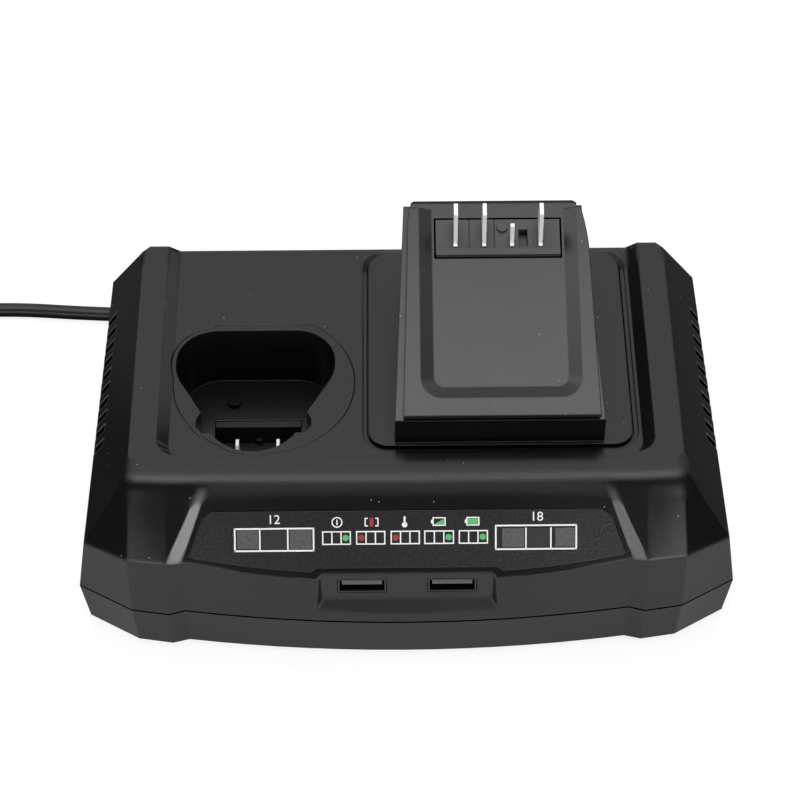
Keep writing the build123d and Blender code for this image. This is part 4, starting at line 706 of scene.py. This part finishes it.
# %% Frames round the windows and their columns
frame_line = 0.45
divider_reach = 0.2
for low, high, top, bottom in ((-47.1, -25.2, 11.5, 18.1), (24.0, 46.4, 11.15, 18.15)):
    ink_bar(low, high, top, top + frame_line)
    ink_bar(low, high, bottom - frame_line, bottom)
    ink_bar(low, low + frame_line, top, bottom)
    ink_bar(high - frame_line, high, top, bottom)
for x in (-40.05, -32.45, 32.45, 39.25):
    ink_bar(x - divider_reach, x + divider_reach, 12.0, 17.6)
print("frames", len(ink_faces), "faces")

# %% Legend boxes: three cells, one of them with a dot in the colour of its light
legend_top, legend_bottom, legend_line = 12.55, 16.35, 0.35
dot_radius = 0.85
legends = ((-23.1, -15.25, 2, GREEN), (-13.85, -5.85, 0, RED), (-4.45, 3.55, 0, RED),
           (4.7, 12.85, 2, GREEN), (14.1, 22.1, 2, GREEN))
for low, high, lit, colour in legends:
    ink_frame(low, high, legend_top, legend_bottom, legend_line, columns=3)
    cell = (high - low - legend_line) / 3
    middle = low + legend_line / 2 + (lit + 0.5) * cell
    ink_ring(middle, (legend_top + legend_bottom) / 2, dot_radius, 0, colour)
print("frames and legend", len(ink_faces), "faces")

# %% Symbols over the legend boxes
icon_y = 10.1
icon_line = 0.33
icon_reach = 1.2
fill_reach = 0.75
icon_top, icon_bottom = icon_y - icon_reach, icon_y + icon_reach

# A bar in a ring.
ink_ring(-19.0, icon_y, 1.5, 1.5 - icon_line)
ink_bar(-19.17, -18.83, icon_y - fill_reach, icon_y + fill_reach)

# A red bar between two brackets.
for side in (-1, 1):
    outer, inner, tip = (-9.6 + side * reach for reach in (1.9, 1.9 - icon_line, 1.0))
    ink_bar(min(outer, inner), max(outer, inner), icon_top, icon_bottom)
    for y in (icon_top, icon_bottom - icon_line):
        ink_bar(min(inner, tip), max(inner, tip), y, y + icon_line)
ink_bar(-10.1, -9.1, icon_top, icon_bottom, RED)

# A thermometer.
ink_ring(-0.6, icon_y + 0.8, 0.75, 0)
ink_bar(-0.88, -0.32, icon_y - 1.5, icon_y + 0.6)

# Two packs with their terminals, the first half charged, the second full.
for x in (8.8, 18.0):
    ink_frame(x - 1.8, x + 1.8, icon_top, icon_bottom, icon_line)
    ink_bar(x - 2.2, x - 1.8, icon_y - 0.5, icon_y + 0.5)
ink([(7.4, icon_y + fill_reach), (10.2, icon_y - fill_reach), (10.2, icon_y + fill_reach)], GREEN)
ink_bar(16.6, 19.4, icon_y - fill_reach, icon_y + fill_reach, GREEN)
print("all the ink", len(ink_faces), "faces")

# %% Ink as one piece
flat = np.concatenate([points for points, _ in ink_faces]) * MM
places = (np.array(panel_origin) + np.outer(flat[:, 0], (1, 0, 0))
          + np.outer(flat[:, 1], panel_down) + ink_height * np.array(panel_out))
sizes = [len(points) for points, _ in ink_faces]
starts = np.cumsum([0] + sizes[:-1])
ink_mesh = bpy.data.meshes.new("panel_printing")
ink_mesh.from_pydata(places.tolist(), [],
                     [list(range(start, start + size)) for start, size in zip(starts, sizes)])
ink_mesh.polygons.foreach_set("material_index", [colour for _, colour in ink_faces])
printing = bpy.data.objects.new("panel_printing", ink_mesh)
bpy.context.scene.collection.objects.link(printing)
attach(printing, "root")


thin_ink = 0.93             # tone of thin ink as a share of full ink


def ink_material(name, colour):
    """Matt screen-printed ink, a little uneven where it is thin."""
    material, tree, shader = start_material(name, Roughness=0.5)
    thin = place_group(tree, mottled, {"Size mm": 0.4})["Mottle"]
    faint = tuple(thin_ink * value for value in colour)
    tree.links.new(mix_colours(tree, thin, faint, colour), shader.inputs["Base Color"])
    return material


for name, colour in (("white ink", (1.0, 1.0, 1.0)), ("green ink", (0.10, 0.55, 0.16)),
                     ("red ink", (0.35, 0.03, 0.03))):
    ink_mesh.materials.append(ink_material(name, colour))
print("printing", len(ink_faces), "faces")

# %% Plain numbers over the windows
number_size = 3.6


def printed_number(text, middle):
    """A number as flat faces on the panel: across, down the slope, in mm."""
    letters = bpy.data.curves.new("number_" + text, "FONT")
    letters.body = text
    letters.size = number_size
    letters.align_x = "CENTER"
    holder = bpy.data.objects.new("number_" + text, letters)
    bpy.context.scene.collection.objects.link(holder)
    bpy.context.view_layer.update()
    mesh = bpy.data.meshes.new_from_object(holder.evaluated_get(
        bpy.context.evaluated_depsgraph_get()))
    bpy.data.objects.remove(holder)
    spots = np.empty(len(mesh.vertices) * 3)
    mesh.vertices.foreach_get("co", spots)
    spots = spots.reshape(-1, 3)
    on_panel = (np.array(panel_origin) + np.outer((middle[0] + spots[:, 0]) * MM, (1, 0, 0))
                + np.outer((middle[1] - spots[:, 1]) * MM, panel_down)
                + ink_height * np.array(panel_out))
    mesh.vertices.foreach_set("co", on_panel.ravel())
    mesh.materials.clear()
    mesh.materials.append(bpy.data.materials["white ink"])
    piece = bpy.data.objects.new("printed_number_" + text, mesh)
    bpy.context.scene.collection.objects.link(piece)
    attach(piece, "root")
    print(piece.name, len(mesh.polygons), "faces")


printed_number("12", (-36.2, 10.4))
printed_number("18", (35.4, 10.1))

# %% [markdown]
# ## Metal pieces
# The terminals have a pale matt plating, the screws are zinc plated but for the blackened one
# in the well, and the socket shells are drawn steel painted dark: painted shade, as the real
# shells sit back in shade behind the plastic openings. They differ in colour, in gloss and in
# the fine scratches that run along them, which are noise stretched along one axis.

# %% The streaked metal group
streak_scale = 900.0            # streaks per metre across them
streak_gloss = 0.12             # how much the roughness varies

streaked, given, results = start_group(
    "Streaked metal",
    [("Stretch", "vector", (1, 1, 1)), ("Roughness", "value", 0.35), ("Edge mm", "value", 0.15)],
    [("Wear", "value"), ("Roughness", "value"), ("Normal", "vector")])
place = add_node(streaked, "ShaderNodeTexCoord").outputs["Object"]
streaks = add_node(streaked, "ShaderNodeTexNoise",
                   {"Vector": vector_node(streaked, "MULTIPLY", place, given["Stretch"]),
                    "Scale": streak_scale, "Detail": 3.0}).outputs[0]
scratch = math_node(streaked, "MULTIPLY", math_node(streaked, "SUBTRACT", streaks, 0.5),
                    streak_gloss)
soft_edge = add_node(streaked, "ShaderNodeBevel",
                     {"Radius": math_node(streaked, "MULTIPLY", given["Edge mm"], MM)}, samples=4)
streaked.links.new(streaks, results["Wear"])
streaked.links.new(math_node(streaked, "ADD", given["Roughness"], scratch), results["Roughness"])
streaked.links.new(soft_edge.outputs[0], results["Normal"])
print(streaked.name, "group,", len(streaked.nodes), "nodes")

# %% Plated and drawn metal
worn_share = 0.86           # tone of a scratch as a share of the metal's own


def metal(name, colour, roughness, stretch=(1, 1, 1), metallic=1.0):
    """A metal whose tone and gloss vary in streaks: noise stretched along one axis."""
    material, tree, shader = start_material(name, Metallic=metallic)
    surface = place_group(tree, streaked, {"Stretch": stretch, "Roughness": roughness})
    worn = tuple(worn_share * value for value in colour)
    tree.links.new(mix_colours(tree, surface["Wear"], worn, colour), shader.inputs["Base Color"])
    tree.links.new(surface["Roughness"], shader.inputs["Roughness"])
    tree.links.new(surface["Normal"], shader.inputs["Normal"])
    return material


dress(metal("matt tin plate", (1.0, 0.99, 0.96), 0.45, (1.0, 0.15, 0.15), metallic=0.1),
      "dock_power_blades", "dock_sense_blade", "well_contacts", "plug_blades")
dress(metal("zinc plate", (0.55, 0.55, 0.56), 0.35),
      "casing_screws", "dock_screws", "carrier_screws", "board_screws", "socket_screws",
      "indicator_screws")
dress(metal("blackened steel", (0.03, 0.03, 0.03), 0.35), "well_screw")
# Painted shade: the shells' steel is darker than drawn steel, as the real shells sit back in shade
# behind the openings.
dress(metal("drawn steel", (0.10, 0.10, 0.10), 0.32, (0.2, 1.0, 1.0)), "socket_shells")
dress(metal("gilt contact", (0.82, 0.60, 0.28), 0.25, (1.0, 0.2, 1.0)), "socket_contacts")
dress(metal("folded aluminium", (0.62, 0.62, 0.63), 0.38, (1.0, 0.2, 1.0)), "heatsinks")

# %% [markdown]
# ## What is inside
# Nothing inside shows from outside but through the side slots, yet each piece still gets the
# finish of the real one: green boards with pale tracks under the lacquer, a sleeved
# capacitor, a taped winding, a wound choke.

# %% Boards and speckled pieces
def board_material():
    """Green lacquer over copper: blocks of a lighter green where tracks run beneath."""
    material, tree, shader = start_material("circuit board", Roughness=0.28)
    place = add_node(tree, "ShaderNodeTexCoord").outputs["Object"]
    tracks = add_node(tree, "ShaderNodeTexBrick",
                      {"Vector": place, "Scale": 130.0, "Mortar Size": 0.12},
                      offset=0.37)
    tree.links.new(mix_colours(tree, tracks.outputs["Fac"], (0.010, 0.075, 0.028),
                               (0.018, 0.13, 0.045)), shader.inputs["Base Color"])
    return material


def speckled(name, dark, light, size_mm, roughness):
    """A surface of two tones mixed by noise of a given size."""
    material, tree, shader = start_material(name, Roughness=roughness)
    mottle = place_group(tree, mottled, {"Size mm": size_mm})["Mottle"]
    tree.links.new(mix_colours(tree, mottle, dark, light), shader.inputs["Base Color"])
    return material


dress(board_material(), "main_board", "indicator_board", "socket_board")
dress(speckled("ferrite", (0.03, 0.03, 0.032), (0.07, 0.07, 0.072), 0.4, 0.6), "transformer_core")
dress(speckled("component plastic", (0.012, 0.012, 0.012), (0.022, 0.022, 0.022), 0.3, 0.45),
      "power_semiconductors", "bridge_rectifier", "control_chips")
dress(speckled("capacitor sleeve", (0.01, 0.012, 0.035), (0.018, 0.02, 0.055), 2.0, 0.3),
      "bulk_capacitor", "output_capacitors")
dress(speckled("fuse body", (0.5, 0.5, 0.48), (0.65, 0.65, 0.62), 1.5, 0.15), "fuse")
dress(speckled("wire insulation", (0.22, 0.012, 0.012), (0.35, 0.02, 0.02), 1.0, 0.4),
      "dock_wires", "mains_leads", "socket_wires")
dress(speckled("light emitting diode", (0.7, 0.7, 0.62), (0.85, 0.85, 0.8), 0.5, 0.25),
      "indicator_leds")

# %% Turns of wire and tape
turn_height = 0.1 * MM

turns, given, results = start_group(
    "Wound turns", [("Axis", "vector", (0, 0, 1)), ("Pitch mm", "value", 1.0)],
    [("Crown", "value"), ("Normal", "vector")])
place = add_node(turns, "ShaderNodeTexCoord").outputs["Object"]
along = vector_node(turns, "DOT_PRODUCT", place, given["Axis"])
turn_count = math_node(turns, "DIVIDE", along, math_node(turns, "MULTIPLY", given["Pitch mm"], MM))
wave = math_node(turns, "SINE", math_node(turns, "MULTIPLY", turn_count, 2 * pi))
crown = math_node(turns, "ADD", math_node(turns, "MULTIPLY", wave, 0.5), 0.5)
raised = add_node(turns, "ShaderNodeBump", {"Distance": turn_height, "Height": crown})
turns.links.new(crown, results["Crown"])
turns.links.new(raised.outputs[0], results["Normal"])


def wound(name, dark, light, axis, pitch_mm):
    """Turns of wire or tape: one wave per pitch along an axis, raised where it is lighter."""
    material, tree, shader = start_material(name, Roughness=0.35)
    surface = place_group(tree, turns, {"Axis": axis, "Pitch mm": pitch_mm})
    tree.links.new(mix_colours(tree, surface["Crown"], dark, light), shader.inputs["Base Color"])
    tree.links.new(surface["Normal"], shader.inputs["Normal"])
    return material


dress(wound("taped winding", (0.45, 0.30, 0.04), (0.62, 0.45, 0.08), (0, 0, 1), 3.0),
      "transformer_winding")
dress(wound("enamelled wire", (0.25, 0.06, 0.02), (0.55, 0.20, 0.06), (1, 0, 0), 0.8),
      "filter_choke")
print(turns.name, "group,", len(turns.nodes), "nodes")

# %% [markdown]
# ## Table and light
# Black satin plastic shows mostly what it mirrors: a broad light behind and above gives the
# deck its even grey, a light overhead gives the dock and the rims their brighter tone, and
# two lights in front, left and right, catch the bevels. The table is white to the camera and
# in reflections of its front part, and it keeps a faint shadow.

# %% White table
camera_card, other_card = (0.20, 0.20, 0.20), (0.08, 0.08, 0.08)
glow_level = 0.87               # the table's own light, to the camera
mirror_share = 0.88             # share of it that mirrors see
glow_front, glow_back = -0.08, 0.0        # Y between which the mirrored light fades
glow_at_back = 0.02


def table_material():
    """Pale card: part of its white is its own light, which the camera and mirrors see.

    In mirrors that light falls off towards the back, from full in front of the object to a
    fiftieth behind its middle.
    """
    material, tree, shader = start_material("white table", Roughness=0.9)
    ray = add_node(tree, "ShaderNodeLightPath")
    card = mix_colours(tree, ray.outputs["Is Camera Ray"], other_card, camera_card)
    tree.links.new(card, shader.inputs["Base Color"])
    place = add_node(tree, "ShaderNodeTexCoord").outputs["Object"]
    depth = add_node(tree, "ShaderNodeSeparateXYZ", {0: place}).outputs["Y"]
    front = add_node(tree, "ShaderNodeMapRange",
                     {"Value": depth, "From Min": glow_front, "From Max": glow_back,
                      "To Min": 1.0, "To Max": glow_at_back},
                     interpolation_type="SMOOTHSTEP")
    mirrored = math_node(tree, "ADD", ray.outputs["Is Glossy Ray"],
                         ray.outputs["Is Transmission Ray"])
    mirrored = math_node(tree, "MULTIPLY", mirrored, front.outputs[0])
    mirrored = math_node(tree, "MULTIPLY", mirrored, mirror_share)
    seen = math_node(tree, "ADD", ray.outputs["Is Camera Ray"], mirrored, clamp=True)
    glow = math_node(tree, "MULTIPLY", seen, glow_level)
    tree.links.new(glow, shader.inputs["Emission Strength"])
    shader.inputs["Emission Color"].default_value = (1, 1, 1, 1)
    shader.inputs["Specular IOR Level"].default_value = 0.0
    return material


half_table = 2.5
table_mesh = bpy.data.meshes.new("table")
table_mesh.from_pydata([(-half_table, -half_table, 0), (half_table, -half_table, 0),
                        (half_table, half_table, 0), (-half_table, half_table, 0)], [],
                       [(0, 1, 2, 3)])
table = bpy.data.objects.new("table", table_mesh)
bpy.context.scene.collection.objects.link(table)
table_mesh.materials.append(table_material())
print("table", 2 * half_table, "m wide")

# %% Softboxes
aim = Vector((0.0, 0.0, 0.04))


def softbox(name, azimuth, elevation, distance, width, height, radiance):
    """An area lamp on a sphere round the object, facing it.

    Azimuth 0 is in front and 90 to the right. A flat lamp of radiance L and area A gives a
    power of pi times L times A.
    """
    data = bpy.data.lights.new(name, "AREA")
    data.shape = "RECTANGLE"
    data.size = width
    data.size_y = height
    data.energy = pi * radiance * width * height
    lamp = bpy.data.objects.new(name, data)
    bpy.context.scene.collection.objects.link(lamp)
    a, e = radians(azimuth), radians(elevation)
    outward = Vector((sin(a) * cos(e), -cos(a) * cos(e), sin(e)))
    lamp.location = aim + outward * distance
    lamp.rotation_euler = outward.to_track_quat("Z", "Y").to_euler()
    print(name, round(data.energy, 2), "W")


softbox("overhead", 0, 84, 0.85, 0.60, 0.42, 3.9)
softbox("back_high", 180, 72, 0.95, 1.30, 0.36, 1.9)
softbox("back", 180, 49, 0.95, 1.30, 0.46, 1.1)
softbox("back_low", 180, 9, 0.95, 0.90, 0.20, 1.8)
softbox("back_right", 130, 8, 0.95, 0.50, 0.36, 0.7)
softbox("front_left", -21, 16, 0.90, 0.20, 0.22, 7.0)
softbox("front_right", 22, 16, 0.90, 0.20, 0.22, 13.0)
softbox("front_low", 0, 5, 0.95, 1.20, 0.16, 3.2)
softbox("side_left", -100, 49, 0.95, 0.50, 0.40, 1.5)
softbox("side_right", 100, 49, 0.95, 0.50, 0.40, 0.7)

# %% The room: white to the camera, dim to everything else
dim_level = 0.04
world = bpy.data.worlds.new("room")
world.use_nodes = True
bpy.context.scene.world = world
tree = world.node_tree
room = tree.nodes["Background"]
ray = add_node(tree, "ShaderNodeLightPath")
seen = math_node(tree, "MAXIMUM", ray.outputs["Is Camera Ray"], ray.outputs["Is Transmission Ray"])
brighter = math_node(tree, "MULTIPLY", seen, 1 - dim_level)
tree.links.new(math_node(tree, "ADD", brighter, dim_level), room.inputs["Strength"])
room.inputs["Color"].default_value = (1, 1, 1, 1)
bpy.context.scene.view_settings.view_transform = "Standard"
print("room at", dim_level, "for what the camera doesn't see")
